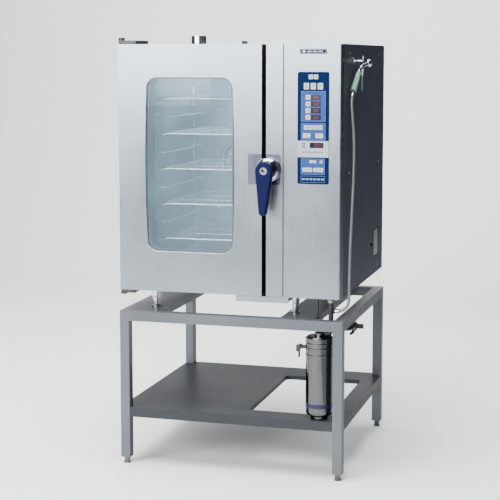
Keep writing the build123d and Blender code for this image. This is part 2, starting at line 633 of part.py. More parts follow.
with BuildPart() as rack_uprights:
    for wall, edge, inward in rack_sides:
        for y in (rack_front, rack_back):
            disc(level(FIRST_LEVEL - 26), (wall + inward * RACK_TO_WALL, y), UPRIGHT_ROD,
                 LEVEL_PITCH * (LEVELS - 1) + 60)
            for z in (FIRST_LEVEL, FIRST_LEVEL + LEVEL_PITCH * (LEVELS - 1)):
                disc(side(wall), (y, z), UPRIGHT_ROD - 1, inward * RACK_TO_WALL)
save(rack_uprights, "rack_uprights")

with BuildPart() as rack_rails:
    for wall, edge, inward in rack_sides:
        weld_x = wall + inward * (RACK_TO_WALL + UPRIGHT_ROD + WELD_GAP)
        rail_x = edge + inward * RAIL_INSET
        for step in range(LEVELS):
            z = FIRST_LEVEL + LEVEL_PITCH * step - rail_drop
            pipe([(weld_x, rack_front, z), (rail_x, rack_front, z), (rail_x, rack_back, z),
                  (weld_x, rack_back, z)], RAIL_ROD, 12.0)
save(rack_rails, "rack_rails")


def wire_shelf(z):
    """One wire shelf whose outer rod is centred at height z."""
    x0, x1 = shelf_left + SHELF_ROD, shelf_right - SHELF_ROD
    y0, y1 = SHELF_FRONT + SHELF_ROD, SHELF_FRONT + GN_LENGTH - SHELF_ROD
    with BuildPart() as shelf:
        with BuildLine() as loop:
            FilletPolyline(at((x0, y0, z)), at((x1, y0, z)), at((x1, y1, z)), at((x0, y1, z)),
                           radius=12.0, close=True)
        with BuildSketch(Plane(origin=loop.line @ 0, z_dir=loop.line % 0)):
            Circle(SHELF_ROD)
        sweep(path=loop.line)
        pitch = (x1 - x0) / (SHELF_WIRES + 1)
        for wire in range(SHELF_WIRES):
            disc(front(y0), (x0 + pitch * (wire + 1), z + 1.2), SHELF_WIRE, y0 - y1)
        for y in (y0 + (y1 - y0) / 3, y0 + (y1 - y0) * 2 / 3):
            disc(side(x0), (y, z - 0.8), 2.0, x1 - x0)
    return shelf


for shelf_number in range(1, 6):
    shelf = wire_shelf(FIRST_LEVEL + LEVEL_PITCH * (2 * shelf_number - 1))
    save(shelf, f"wire_shelf_{shelf_number}")

with BuildPart() as fan_baffle:
    bounds = (CHAMBER_X - BAFFLE_WIDTH / 2, CHAMBER_X + BAFFLE_WIDTH / 2,
              FAN_Z - BAFFLE_HEIGHT / 2, FAN_Z + BAFFLE_HEIGHT / 2)
    slab(front(BAFFLE_FRONT), bounds, -10.0, radius=BAFFLE_CORNER)
    slab(front(BAFFLE_FRONT + LINER),
         (bounds[0] + LINER, bounds[1] - LINER, bounds[2] + LINER, bounds[3] - LINER),
         LINER - 10.0, radius=BAFFLE_CORNER - LINER, mode=Mode.SUBTRACT)
    disc(front(BAFFLE_FRONT), (CHAMBER_X, FAN_Z), INTAKE_RADIUS, -LINER, mode=Mode.SUBTRACT)
    for radius in (25.0, 50.0, 75.0):
        with BuildSketch(front(BAFFLE_FRONT)):
            with Locations((CHAMBER_X, FAN_Z)):
                Circle(radius + 1.2)
                Circle(radius - 1.2, mode=Mode.SUBTRACT)
        extrude(amount=-LINER)
    slab(front(BAFFLE_FRONT), (CHAMBER_X - 3, CHAMBER_X + 3, FAN_Z - INTAKE_RADIUS - 2,
                               FAN_Z + INTAKE_RADIUS + 2), -LINER)
    slab(front(BAFFLE_FRONT), (CHAMBER_X - INTAKE_RADIUS - 2, CHAMBER_X + INTAKE_RADIUS + 2,
                               FAN_Z - 3, FAN_Z + 3), -LINER)
    for x in (bounds[0] + 30, bounds[1] - 30):
        for z in (bounds[2] + 30, bounds[3] - 30):
            disc(front(BAFFLE_FRONT), (x, z), 6.0, BAFFLE_FRONT - CHAMBER_BACK)
            disc(front(BAFFLE_FRONT), (x, z), 9.0, 4.0)
save(fan_baffle, "fan_baffle")

wheel_front = BAFFLE_FRONT + 14.0
motor_front = CHAMBER_BACK + INSULATION + 4.0
shaft_end = motor_front + 60.0
with BuildPart() as fan_wheel:
    wheel_back = wheel_front + WHEEL_DEPTH
    disc(front(wheel_back), (CHAMBER_X, FAN_Z), WHEEL_RADIUS, -2.0)
    disc(front(wheel_front), (CHAMBER_X, FAN_Z), 18.0, wheel_front - wheel_back)
    disc(front(wheel_front), (CHAMBER_X, FAN_Z), WHEEL_RADIUS, -2.0)
    disc(front(wheel_front), (CHAMBER_X, FAN_Z), WHEEL_RADIUS - 24, -2.0, mode=Mode.SUBTRACT)
    disc(front(wheel_front), (CHAMBER_X, FAN_Z), 18.0, -2.0)
    with BuildSketch(front(wheel_front)):
        with Locations((CHAMBER_X, FAN_Z)):
            with PolarLocations(WHEEL_RADIUS - 13, BLADES):
                Rectangle(22, 2.0, rotation=35)
    extrude(amount=wheel_front - wheel_back)
    disc(front(wheel_front), (CHAMBER_X, FAN_Z), SHAFT_RADIUS, wheel_front - shaft_end)
save(fan_wheel, "fan_wheel")

with BuildPart() as fan_motor:
    disc(front(motor_front), (CHAMBER_X, FAN_Z), MOTOR_RADIUS + 14, -6.0)
    disc(front(motor_front + 6), (CHAMBER_X, FAN_Z), MOTOR_RADIUS, -74.0)
    with BuildSketch(front(motor_front + 12)):
        with Locations((CHAMBER_X, FAN_Z)):
            with PolarLocations(MOTOR_RADIUS, 24):
                Rectangle(6, 2.5)
    extrude(amount=-58.0)
    disc(front(motor_front), (CHAMBER_X, FAN_Z), SHAFT_RADIUS + RUNNING_FIT,
         motor_front - shaft_end - 1, mode=Mode.SUBTRACT)
    for x, z in MOTOR_POSTS:
        disc(front(CHAMBER_BACK + LINER), (CHAMBER_X + x, FAN_Z + z), POST_RADIUS,
             CHAMBER_BACK + LINER - motor_front)
save(fan_motor, "fan_motor")

with BuildPart() as heating_element:
    for ring in range(HEATER_RINGS):
        y = wheel_front + 4 + ring * 14
        with BuildSketch(side(CHAMBER_X)):
            with Locations((y, FAN_Z + HEATER_RADIUS)):
                Circle(HEATER_ROD)
        revolve(axis=Axis(at((CHAMBER_X, 0, FAN_Z)), (0, 1, 0)))
    for corner in (45, 135, 225, 315):
        with BuildSketch(front(wheel_front)):
            with Locations((CHAMBER_X, FAN_Z)):
                with PolarLocations(HEATER_RADIUS, 1, start_angle=corner):
                    Rectangle(5, 12)
        extrude(amount=wheel_front - CHAMBER_BACK)
save(heating_element, "heating_element")

with BuildPart() as steam_generator:
    tank = (722.0, STEAM_Y)
    disc(level(SHEET), tank, 70.0, 50.0)
    disc(level(40.0), tank, 92.0, 380.0)
    fillet(steam_generator.edges().filter_by(GeomType.CIRCLE).sort_by(Axis.Z)[-1], 24.0)
    disc(side(CHAMBER_LEFT + CHAMBER_WIDTH + LINER), (STEAM_Y, STEAM_Z), STEAM_RADIUS,
         tank[0] - 60 - CHAMBER_LEFT - CHAMBER_WIDTH)
save(steam_generator, "steam_generator")

# ================================================================ door
window_x = (WINDOW_LEFT + WINDOW_RIGHT) / 2
window_z = (WINDOW_BOTTOM + WINDOW_TOP) / 2


def window_outline(grow):
    """Window outline, straight at top and bottom with bowed sides, grown all round."""
    left, right = WINDOW_LEFT - grow, WINDOW_RIGHT + grow
    bottom, top = WINDOW_BOTTOM - grow, WINDOW_TOP + grow
    with BuildLine() as outline:
        Line((left + WINDOW_BOW, top), (right - WINDOW_BOW, top))
        ThreePointArc((right - WINDOW_BOW, top), (right, window_z), (right - WINDOW_BOW, bottom))
        Line((right - WINDOW_BOW, bottom), (left + WINDOW_BOW, bottom))
        ThreePointArc((left + WINDOW_BOW, bottom), (left, window_z), (left + WINDOW_BOW, top))
    face = make_face(outline.edges())
    fillet(face.vertices(), WINDOW_CORNER + grow)


def window(plane, grow, thickness, mode=Mode.ADD):
    """Plate or hole of the window's shape."""
    with BuildSketch(plane) as pane:
        window_outline(grow)
    extrude(pane.sketch, amount=thickness, mode=mode)


skin_back = DOOR_DEPTH - 15.0
with BuildPart() as door_skin:
    slab(front(0), (0, DOOR_WIDTH, 0, CABINET_HEIGHT), -skin_back)
    slab(front(SHEET), (SHEET, DOOR_WIDTH - SHEET, SHEET, CABINET_HEIGHT - SHEET),
         SHEET - skin_back, mode=Mode.SUBTRACT)
    window(front(0), 0, -SHEET, mode=Mode.SUBTRACT)
    for z in (0, CABINET_HEIGHT - SHEET):
        disc(level(z), (HINGE_X, HINGE_Y), HINGE_PIN + 0.5, SHEET, mode=Mode.SUBTRACT)
    fillet(door_skin.edges().filter_by(Axis.Y).group_by(Axis.X)[0], 3.0)
save(door_skin, "door_skin")

with BuildPart() as door_inner_frame:
    inner = SHEET + 0.2
    slab(front(SHEET * 2 + GLASS), (inner, DOOR_WIDTH - inner, inner, CABINET_HEIGHT - inner),
         SHEET * 2 + GLASS - DOOR_DEPTH)
    slab(front(SHEET * 2 + GLASS), (inner + LINER, DOOR_WIDTH - inner - LINER, inner + LINER,
                                    CABINET_HEIGHT - inner - LINER),
         SHEET * 2 + GLASS - DOOR_DEPTH + LINER, mode=Mode.SUBTRACT)
    window(front(SHEET * 2 + GLASS), LINER - WINDOW_REVEAL, SHEET * 2 + GLASS - DOOR_DEPTH)
    # blocks that carry the hinge pins
    for z in (inner, CABINET_HEIGHT - inner - BUSH_DEPTH):
        slab(level(z), (inner, HINGE_X + 14, SHEET * 2 + GLASS, HINGE_Y + 14), BUSH_DEPTH)
        disc(level(z), (HINGE_X, HINGE_Y), HINGE_PIN + RUNNING_FIT, BUSH_DEPTH,
             mode=Mode.SUBTRACT)
    window(front(0), -WINDOW_REVEAL, -DOOR_DEPTH - 1, mode=Mode.SUBTRACT)
save(door_inner_frame, "door_inner_frame")

with BuildPart() as outer_glass:
    window(front(SHEET + 0.2), GLASS_LAP, -GLASS)
save(outer_glass, "outer_glass")

with BuildPart() as inner_glass:
    window(front(DOOR_DEPTH - GLASS - 3), -WINDOW_REVEAL - 0.2, -GLASS)
save(inner_glass, "inner_glass")

with BuildPart() as door_gasket:
    room = GASKET_ROOM - GASKET_CLEAR
    with BuildSketch(front(BODY_FRONT)):
        span(*chamber_bounds(8.0 + GASKET), radius=CHAMBER_CORNER + 8 + GASKET)
        span(*chamber_bounds(8.0), radius=CHAMBER_CORNER + 8, mode=Mode.SUBTRACT)
    extrude(amount=room)
    fillet(door_gasket.faces().sort_by(Axis.Y)[0].edges(), 2.0)
save(door_gasket, "door_gasket")

with BuildPart() as hinge_brackets:
    plate_back = BODY_FRONT + 60.0
    for z0, z1, width, cap0, cap1, pin0, pin1, seat in (
            (CABINET_HEIGHT + HINGE_GAP, CABINET_HEIGHT + HINGE_GAP + HINGE_PLATE, 77.0,
             CABINET_HEIGHT + HINGE_GAP + HINGE_PLATE, CABINET_HEIGHT + 26,
             CABINET_HEIGHT - BUSH_DEPTH, CABINET_HEIGHT + 2, CABINET_HEIGHT),
            (-HINGE_GAP - HINGE_PLATE + 2, -HINGE_GAP, 58.0,
             -HINGE_GAP - HINGE_PLATE - 5, -HINGE_GAP - HINGE_PLATE + 2,
             -2, BUSH_DEPTH, -HINGE_GAP)):
        slab(level(z0), (0, width, HINGE_Y - 16, plate_back), z1 - z0, radius=6.0)
        slab(level(seat), (0, width, BODY_FRONT + SHEET + 0.5, plate_back), HINGE_GAP + 0.5)
        disc(level(cap0), (HINGE_X, HINGE_Y), HINGE_CAP, cap1 - cap0)
        disc(level(pin0), (HINGE_X, HINGE_Y), HINGE_PIN, pin1 - pin0)
    slab(level(0), (0, 77.0, BODY_FRONT, plate_back), SHEET, mode=Mode.SUBTRACT)
save(hinge_brackets, "hinge_brackets")

# ================================================================ latch and handle
latch_bottom = HANDLE_Z + 1 - LATCH_HEIGHT / 2
latch_top = HANDLE_Z + 1 + LATCH_HEIGHT / 2
disc_back = LATCH_PLATE + LATCH_CLEAR
disc_front = disc_back + LATCH_DISC


def half_plate(x0, x1, square_edge):
    """One half of the square plate: rounded on the outer side, square along the gap."""
    slab(front(0), (x0, x1, latch_bottom, latch_top), LATCH_PLATE, radius=8.0)
    edge = sorted((square_edge, (x0 + x1) / 2))
    slab(front(0), (*edge, latch_bottom, latch_top), LATCH_PLATE)


with BuildPart() as strike_plate:
    half_plate(STRIP_LEFT + 2, STRIP_LEFT + 2 + LATCH_REACH, STRIP_LEFT + 2)
    slab(front(0), (STRIP_LEFT + 8, STRIP_LEFT + 14, HANDLE_Z - 24, HANDLE_Z + 24), LATCH_PLATE,
         mode=Mode.SUBTRACT)
save(strike_plate, "strike_plate")

with BuildPart() as latch_base:
    half_plate(DOOR_WIDTH - LATCH_REACH, DOOR_WIDTH, DOOR_WIDTH)
    disc(front(-disc_back), (HANDLE_X, HANDLE_Z), DOME_RADIUS - 2, LATCH_DISC)
    with BuildSketch(front(-LATCH_PLATE)):
        with Locations((HANDLE_X, HANDLE_Z)):
            Circle(DOME_RADIUS - 2)
        span(DOOR_WIDTH, HANDLE_X + DOME_RADIUS, HANDLE_Z - DOME_RADIUS, HANDLE_Z + DOME_RADIUS,
             mode=Mode.SUBTRACT)
    extrude(amount=LATCH_CLEAR)
    disc(front(-disc_back), (HANDLE_X, HANDLE_Z), SPINDLE + RUNNING_FIT, LATCH_DISC,
         mode=Mode.SUBTRACT)
save(latch_base, "latch_base")

with BuildPart() as escutcheon:
    with BuildSketch(side(HANDLE_X)):
        with BuildLine():
            Polyline((-DOME_FRONT, HANDLE_Z + SPINDLE + 1), (-disc_front, HANDLE_Z + SPINDLE + 1),
                     (-disc_front, HANDLE_Z + DOME_RADIUS), (-disc_front - 4, HANDLE_Z + DOME_RADIUS))
            ThreePointArc((-disc_front - 4, HANDLE_Z + DOME_RADIUS),
                          (-disc_front - 13, HANDLE_Z + DOME_RADIUS - 4.5),
                          (-DOME_FRONT, HANDLE_Z + DOME_TOP))
            Line((-DOME_FRONT, HANDLE_Z + DOME_TOP), (-DOME_FRONT, HANDLE_Z + SPINDLE + 1))
        make_face()
    revolve(axis=Axis(at((HANDLE_X, 0, HANDLE_Z)), (0, 1, 0)))
save(escutcheon, "escutcheon")

with BuildPart() as lever:
    with BuildSketch(front(-LEVER_FRONT + LEVER_THICK)):
        with Locations((HANDLE_X, HANDLE_Z)):
            Circle(LEVER_HEAD)
        with Locations((HANDLE_X - LEVER_LEAN, HANDLE_Z - LEVER_LENGTH)):
            Circle(LEVER_TIP)
        make_hull()
    extrude(amount=LEVER_THICK)
    fillet(lever.faces().sort_by(Axis.Y)[0].edges(), 7.0)
    fillet(lever.faces().sort_by(Axis.Y)[-1].edges(), 4.0)
    disc(front(-DOME_FRONT - 0.6), (HANDLE_X, HANDLE_Z), LEVER_NECK,
         LEVER_FRONT - LEVER_THICK - DOME_FRONT)
    disc(front(-disc_back), (HANDLE_X, HANDLE_Z), SPINDLE, LEVER_FRONT - LEVER_THICK - disc_back)
save(lever, "lever")

# ================================================================ controls
with BuildPart() as control_overlay:
    with BuildSketch(front(0)):
        span(OVERLAY_LEFT, OVERLAY_RIGHT, OVERLAY_BOTTOM, OVERLAY_TOP, radius=7.0)
        for x, z, width, height in KEYS.values():
            with Locations((x, z)):
                RectangleRounded(width + 2 * KEY_GAP, height + 2 * KEY_GAP, KEY_CORNER + KEY_GAP,
                                 mode=Mode.SUBTRACT)
        for place in range(4):
            with Locations((DISPLAY_X, DISPLAY_TOP_Z - DISPLAY_PITCH * place)):
                Rectangle(DISPLAY_WIDTH, DISPLAY_HEIGHT, mode=Mode.SUBTRACT)
        with Locations(TIMER_WINDOW[:2]):
            Rectangle(*TIMER_WINDOW[2:], mode=Mode.SUBTRACT)
    extrude(amount=OVERLAY)
save(control_overlay, "control_overlay")

with BuildPart() as display_windows:
    with BuildSketch(front(0)):
        for place in range(4):
            with Locations((DISPLAY_X, DISPLAY_TOP_Z - DISPLAY_PITCH * place)):
                Rectangle(DISPLAY_WIDTH - 0.2, DISPLAY_HEIGHT - 0.2)
        with Locations(TIMER_WINDOW[:2]):
            Rectangle(TIMER_WINDOW[2] - 0.2, TIMER_WINDOW[3] - 0.2)
    extrude(amount=OVERLAY - 0.3)
save(display_windows, "display_windows")

for key_name, (x, z, width, height) in KEYS.items():
    with BuildPart() as key:
        with BuildSketch(front(KEY_DEPTH - OVERLAY - KEY_PROUD)):
            with Locations((x, z)):
                RectangleRounded(width, height, KEY_CORNER)
        extrude(amount=KEY_DEPTH)
        chamfer(key.faces().sort_by(Axis.Y)[0].edges(), 0.3)
    save(key, key_name)

# ================================================================ drip tray
with BuildPart() as drip_tray:
    floor = TRAY_TOP - TRAY_DEPTH
    tray_back = TRAY_FRONT + TRAY_LENGTH
    body = (TRAY_LEFT + TRAY_LEDGE + TRAY_GAP, TRAY_RIGHT - TRAY_LEDGE - TRAY_GAP)
    slab(level(floor), (*body, TRAY_FRONT, tray_back), TRAY_DEPTH)
    slab(level(TRAY_TOP - SHEET), (TRAY_LEFT, TRAY_RIGHT, TRAY_FRONT, tray_back), SHEET)
    slab(level(floor), (TRAY_LEFT, TRAY_RIGHT, TRAY_FRONT, TRAY_FRONT + SHEET), TRAY_DEPTH)
    slab(level(floor + SHEET), (body[0] + SHEET, body[1] - SHEET, TRAY_FRONT + SHEET,
                                tray_back - SHEET), TRAY_DEPTH, mode=Mode.SUBTRACT)
save(drip_tray, "drip_tray")

# ================================================================ spray gun and hose
with BuildPart() as spray_gun:
    pipe([SPRAY_HEAD, GUN_ELBOW, GRIP_END], 7.0, 28.0)
    grip = along(GRIP_TOP, GRIP_END)
    length = (at(GRIP_END) - at(GRIP_TOP)).length
    with BuildSketch(grip):
        Circle(GRIP_RADIUS - 1.5)
    with BuildSketch(grip.offset(length * 0.5)):
        Circle(GRIP_RADIUS)
    with BuildSketch(grip.offset(length - 12)):
        Circle(GRIP_RADIUS + 1.0)
    loft()
    with BuildSketch(along(SPRAY_HEAD, GUN_ELBOW)):
        Circle(HEAD_RADIUS)
    with BuildSketch(along(SPRAY_HEAD, GUN_ELBOW).offset(22)):
        Circle(8.5)
    loft()
    # lug and pin that carry the trigger
    slab(side(GUN_X - 3.0), (TRIGGER_PIVOT[0] - 7, TRIGGER_PIVOT[0] + 7, TRIGGER_PIVOT[1] - 7,
                             TRIGGER_PIVOT[1] + 16), TRIGGER_SIDE + 2.6)
    disc(side(GUN_X), TRIGGER_PIVOT, TRIGGER_PIN, TRIGGER_SIDE + TRIGGER_THICK + 2)
    # ferrule that the hose leaves
    with BuildSketch(along(GRIP_END, FERRULE_END)):
        Circle(9.0)
    extrude(amount=(at(FERRULE_END) - at(GRIP_END)).length)
save(spray_gun, "spray_gun")

with BuildPart() as gun_trigger:
    with BuildSketch(side(GUN_X + TRIGGER_SIDE)):
        with Locations(TRIGGER_PIVOT):
            Circle(7.0)
        with Locations(TRIGGER_END):
            Circle(4.0)
        make_hull()
        with Locations(TRIGGER_PIVOT):
            Circle(TRIGGER_PIN + RUNNING_FIT, mode=Mode.SUBTRACT)
    extrude(amount=TRIGGER_THICK)
save(gun_trigger, "gun_trigger")

with BuildPart() as gun_bracket:
    disc(side(CABINET_WIDTH), GUN_HOOK, 16.0, 4.0)
    pipe([(CABINET_WIDTH + 2, *GUN_HOOK), (GUN_X + 15, *GUN_HOOK),
          (GUN_X + 15, GUN_HOOK[0], GUN_HOOK[1] + 20)], 3.5, 8.0)
save(gun_bracket, "gun_bracket")

hose_points = [at(p) for p in HOSE_ROUTE]
hose_radii = []
for before, corner, after in zip(hose_points, hose_points[1:], hose_points[2:]):
    turn = (corner - before).get_angle(after - corner)
    shorter = min((corner - before).length, (after - corner).length)
    hose_radii.append(0.45 * shorter / tan(radians(turn) / 2))
with BuildPart() as spray_hose:
    with BuildLine() as hose_path:
        FilletPolyline(*hose_points, radius=hose_radii)
    with BuildSketch(Plane(origin=hose_points[0], z_dir=hose_path.line % 0)):
        Circle(HOSE_RADIUS)
    sweep(path=hose_path.line)
save(spray_hose, "spray_hose")
hose_length = hose_path.wires()[0].length
print("hose radii", [round(r) for r in hose_radii])
print("hose length", round(hose_length, 1), "volume over section x length",
      round(spray_hose.part.volume / (pi * HOSE_RADIUS ** 2 * hose_length), 4))

# ================================================================ water filter and pipes
filter_foot = UNDERSHELF
with BuildPart() as filter_canister:
    with BuildSketch(front(FILTER_Y)):
        with BuildLine():
            x = FILTER_X
            r = FILTER_RADIUS
            Polyline((x + 28, filter_foot), (x + 34, filter_foot), (x + 34, filter_foot + 10),
                     (x + 40, filter_foot + 14))
            ThreePointArc((x + 40, filter_foot + 14), (x + r - 4, filter_foot + 20),
                          (x + r, filter_foot + 32))
            Polyline((x + r, filter_foot + 32), (x + r, FILTER_SHOULDER),
                     (x + r - FILTER_WALL, FILTER_SHOULDER),
                     (x + r - FILTER_WALL, filter_foot + 32), (x + 38, filter_foot + 18),
                     (x, filter_foot + 18), (x, filter_foot + 12), (x + 28, filter_foot + 10),
                     (x + 28, filter_foot))
        make_face()
    revolve(axis=Axis(at((FILTER_X, FILTER_Y, 0)), (0, 0, 1)))
save(filter_canister, "filter_canister")

with BuildPart() as filter_head:
    disc(level(FILTER_SHOULDER), (FILTER_X, FILTER_Y), FILTER_RADIUS + 1.5,
         FILTER_LID - FILTER_SHOULDER - 6)
    disc(level(FILTER_LID - 6), (FILTER_X, FILTER_Y), FILTER_RADIUS - 3, 6)
    fillet(filter_head.edges().filter_by(GeomType.CIRCLE).sort_by(Axis.Z)[-1], 5.0)
    disc(level(FILTER_LID), (FILTER_X, FILTER_Y), KNOB_RADIUS, 14.0)
    chamfer(filter_head.edges().filter_by(GeomType.CIRCLE).sort_by(Axis.Z)[-1], 3.0)
save(filter_head, "filter_head")

with BuildPart() as pipework:
    # riser from the filter's head up to the cabinet
    pipe([(FILTER_X + KNOB_RADIUS + 0.2, FILTER_Y, FILTER_LID + RISER_RADIUS + 0.5),
          (RISER_X, FILTER_Y, FILTER_LID + RISER_RADIUS + 0.5), (RISER_X, FILTER_Y, 0)],
         RISER_RADIUS, 11.0)
    # hose union, under the cabinet's edge
    union = HOSE_ROUTE[-1]
    disc(side(union[0] - UNION_LENGTH), (union[1], union[2]), UNION_RADIUS, UNION_LENGTH)
    # small air tube
    pipe([(FILTER_X - 14, FILTER_Y + 28, FILTER_LID), (FILTER_X - 14, FILTER_Y + 28, 0)], 4.0, 0)
    # tap on the side of the canister
    disc(side(FILTER_X - FILTER_RADIUS - 34), (FILTER_Y, TAP_Z), 7.0, 34.0)
    disc(front(FILTER_Y + 9), (FILTER_X - FILTER_RADIUS - 24, TAP_Z), 10.0, 18.0)
    disc(level(TAP_Z - 20), (FILTER_X - FILTER_RADIUS - 34, FILTER_Y), 6.0, 26.0)
    # stop valve under the right rail, with its inlet
    disc(level(VALVE[2] - 16), VALVE[:2], VALVE_BODY, 32.0)
    disc(front(VALVE[1]), (VALVE[0], VALVE[2]), INLET_RADIUS, 40.0)
    disc(side(VALVE[0]), VALVE[1:], INLET_RADIUS + 3, VALVE_COLLAR)
    disc(side(VALVE[0] + VALVE_COLLAR), VALVE[1:], INLET_RADIUS, INLET_LENGTH)
    pipe([(VALVE[0], VALVE[1] - 40, VALVE[2]), (VALVE[0], VALVE[1] - 75, VALVE[2]),
          (VALVE[0] - 78, VALVE[1] - 75, VALVE[2]), (VALVE[0] - 78, VALVE[1] - 75, 0)], 7.0, 16.0)
    # drain, out through the rear panel
    pipe([(CHAMBER_X, DRAIN_Y, CHAMBER_BOTTOM - LINER), (CHAMBER_X, DRAIN_Y, DRAIN_Z),
          (CHAMBER_X, CABINET_DEPTH + DRAIN_PROUD, DRAIN_Z)], DRAIN_RADIUS, DRAIN_BEND)
    disc(front(CABINET_DEPTH + DRAIN_BEAD), (CHAMBER_X, DRAIN_Z), DRAIN_RADIUS + DRAIN_BEAD,
         DRAIN_BEAD - RUNNING_FIT)
save(pipework, "pipework")

with BuildPart() as tap_lever:
    tap_x = FILTER_X - FILTER_RADIUS - 24
    disc(front(FILTER_Y - 9.4), (tap_x, TAP_Z), 6.0, 6.0)
    slab(front(FILTER_Y - 10.4), (tap_x - 4, tap_x + 4, TAP_Z - 40, TAP_Z), 4.0, radius=3.5)
save(tap_lever, "tap_lever")

with BuildPart() as valve_handle:
    disc(level(VALVE[2] - 26), VALVE[:2], 7.0, 9.4)
    slab(level(VALVE[2] - 26), (VALVE[0] - 6, VALVE[0] + 6, VALVE[1] - 55, VALVE[1]), 5.0,
         radius=5.0)
save(valve_handle, "valve_handle")
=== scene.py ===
"""Looks of a combi steamer oven on its stand, laid over the CAD frame.  Metres, +Z up."""

from math import cos, pi, radians, sin

import bmesh
import bpy
from bpy.props import FloatProperty, FloatVectorProperty, IntProperty, PointerProperty
from mathutils import Matrix, Vector


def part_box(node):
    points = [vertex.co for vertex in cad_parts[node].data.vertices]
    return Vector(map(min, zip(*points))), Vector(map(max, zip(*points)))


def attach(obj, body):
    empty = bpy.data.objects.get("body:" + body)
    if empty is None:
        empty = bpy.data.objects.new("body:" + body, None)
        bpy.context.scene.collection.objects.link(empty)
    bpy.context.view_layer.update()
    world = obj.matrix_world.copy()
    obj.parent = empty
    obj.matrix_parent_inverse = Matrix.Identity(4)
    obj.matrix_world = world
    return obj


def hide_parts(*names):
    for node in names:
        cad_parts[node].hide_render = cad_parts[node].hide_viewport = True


bl_info = {
    "name": "Combi steamer oven looks",
    "version": (1, 0, 0),
    "blender": (4, 5, 0),
    "location": "View3D > Sidebar > Oven",
    "description": "Finishes and fine detail for a combi steamer oven on a stand",
    "category": "Object",
}

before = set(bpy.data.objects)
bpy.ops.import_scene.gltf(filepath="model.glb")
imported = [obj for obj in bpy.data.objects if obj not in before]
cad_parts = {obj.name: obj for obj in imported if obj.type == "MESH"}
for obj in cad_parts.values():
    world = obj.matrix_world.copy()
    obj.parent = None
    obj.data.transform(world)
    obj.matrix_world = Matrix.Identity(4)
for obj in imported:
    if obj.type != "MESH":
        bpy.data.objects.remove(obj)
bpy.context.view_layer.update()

# The cabinet's datum: its front left bottom corner, in the plane of the door's face.
DATUM = Vector((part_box("door_skin")[0].x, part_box("door_skin")[0].y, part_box("rear_panel")[0].z))
KEYS = ["power_key_left", "power_key_right", "arrow_key_1", "arrow_key_2", "arrow_key_3",
        "arrow_key_4", "start_key", "stop_key"]
SHELVES = [f"wire_shelf_{number}" for number in range(1, 6)]
FINISHES = {}                 # finishes made so far, by name
HAIR = 0.00012                # how far a printed or laid-on film stands off the face under it

# The hose's route from the datum, in metres: down from the grip, then in under the cabinet.
HOSE_ROUTE = [
    (0.9145, 0.1100, 0.7810),
    (0.9145, 0.0860, 0.7540),
    (0.9190, 0.0900, 0.6920),
    (0.9230, 0.1030, 0.6040),
    (0.9240, 0.0970, 0.4800),
    (0.9215, 0.0800, 0.3380),
    (0.9190, 0.0640, 0.2000),
    (0.9180, 0.0570, 0.1120),
    (0.9165, 0.0580, 0.0240),
    (0.9170, 0.0610, -0.0220),
    (0.9045, 0.0620, -0.0430),
    (0.8840, 0.0620, -0.0550),
    (0.8620, 0.0620, -0.0550),
]
HOSE_DIAMETER = 0.012

CAMERA_PLACE = (1.9558, -4.9625, 0.9117)     # from the datum
CAMERA_TILT = 6.382           # degrees below level
CAMERA_TURN = 15.947          # degrees to the left of straight ahead
CAMERA_LENS = 96.98           # millimetres
CAMERA_SHIFT = -0.08          # of the frame's width


def from_datum(x, y, z):
    """A point given from the cabinet's datum."""
    return DATUM + Vector((x, y, z))


# ------------------------------------------------------------------ node helpers
def add_node(tree, kind, **settings):
    """One node with its plain settings."""
    node = tree.nodes.new(kind)
    for key, value in settings.items():
        setattr(node, key, value)
    return node


def set_inputs(node, **values):
    """Values of a node's inputs, by name with underscores for spaces."""
    for key, value in values.items():
        node.inputs[key.replace("_", " ")].default_value = value


def wire(tree, *links):
    """Links given as (node, output, node, input)."""
    for source, output, target, entry in links:
        tree.links.new(source.outputs[output], target.inputs[entry])


def new_group(name, sockets):
    """Shader group with the given (name, in or out, kind, default) sockets."""
    group = bpy.data.node_groups.new(name, "ShaderNodeTree")
    for label, way, kind, default in sockets:
        socket = group.interface.new_socket(name=label, in_out=way, socket_type=kind)
        if default is not None:
            socket.default_value = default
    return group, add_node(group, "NodeGroupInput"), add_node(group, "NodeGroupOutput")


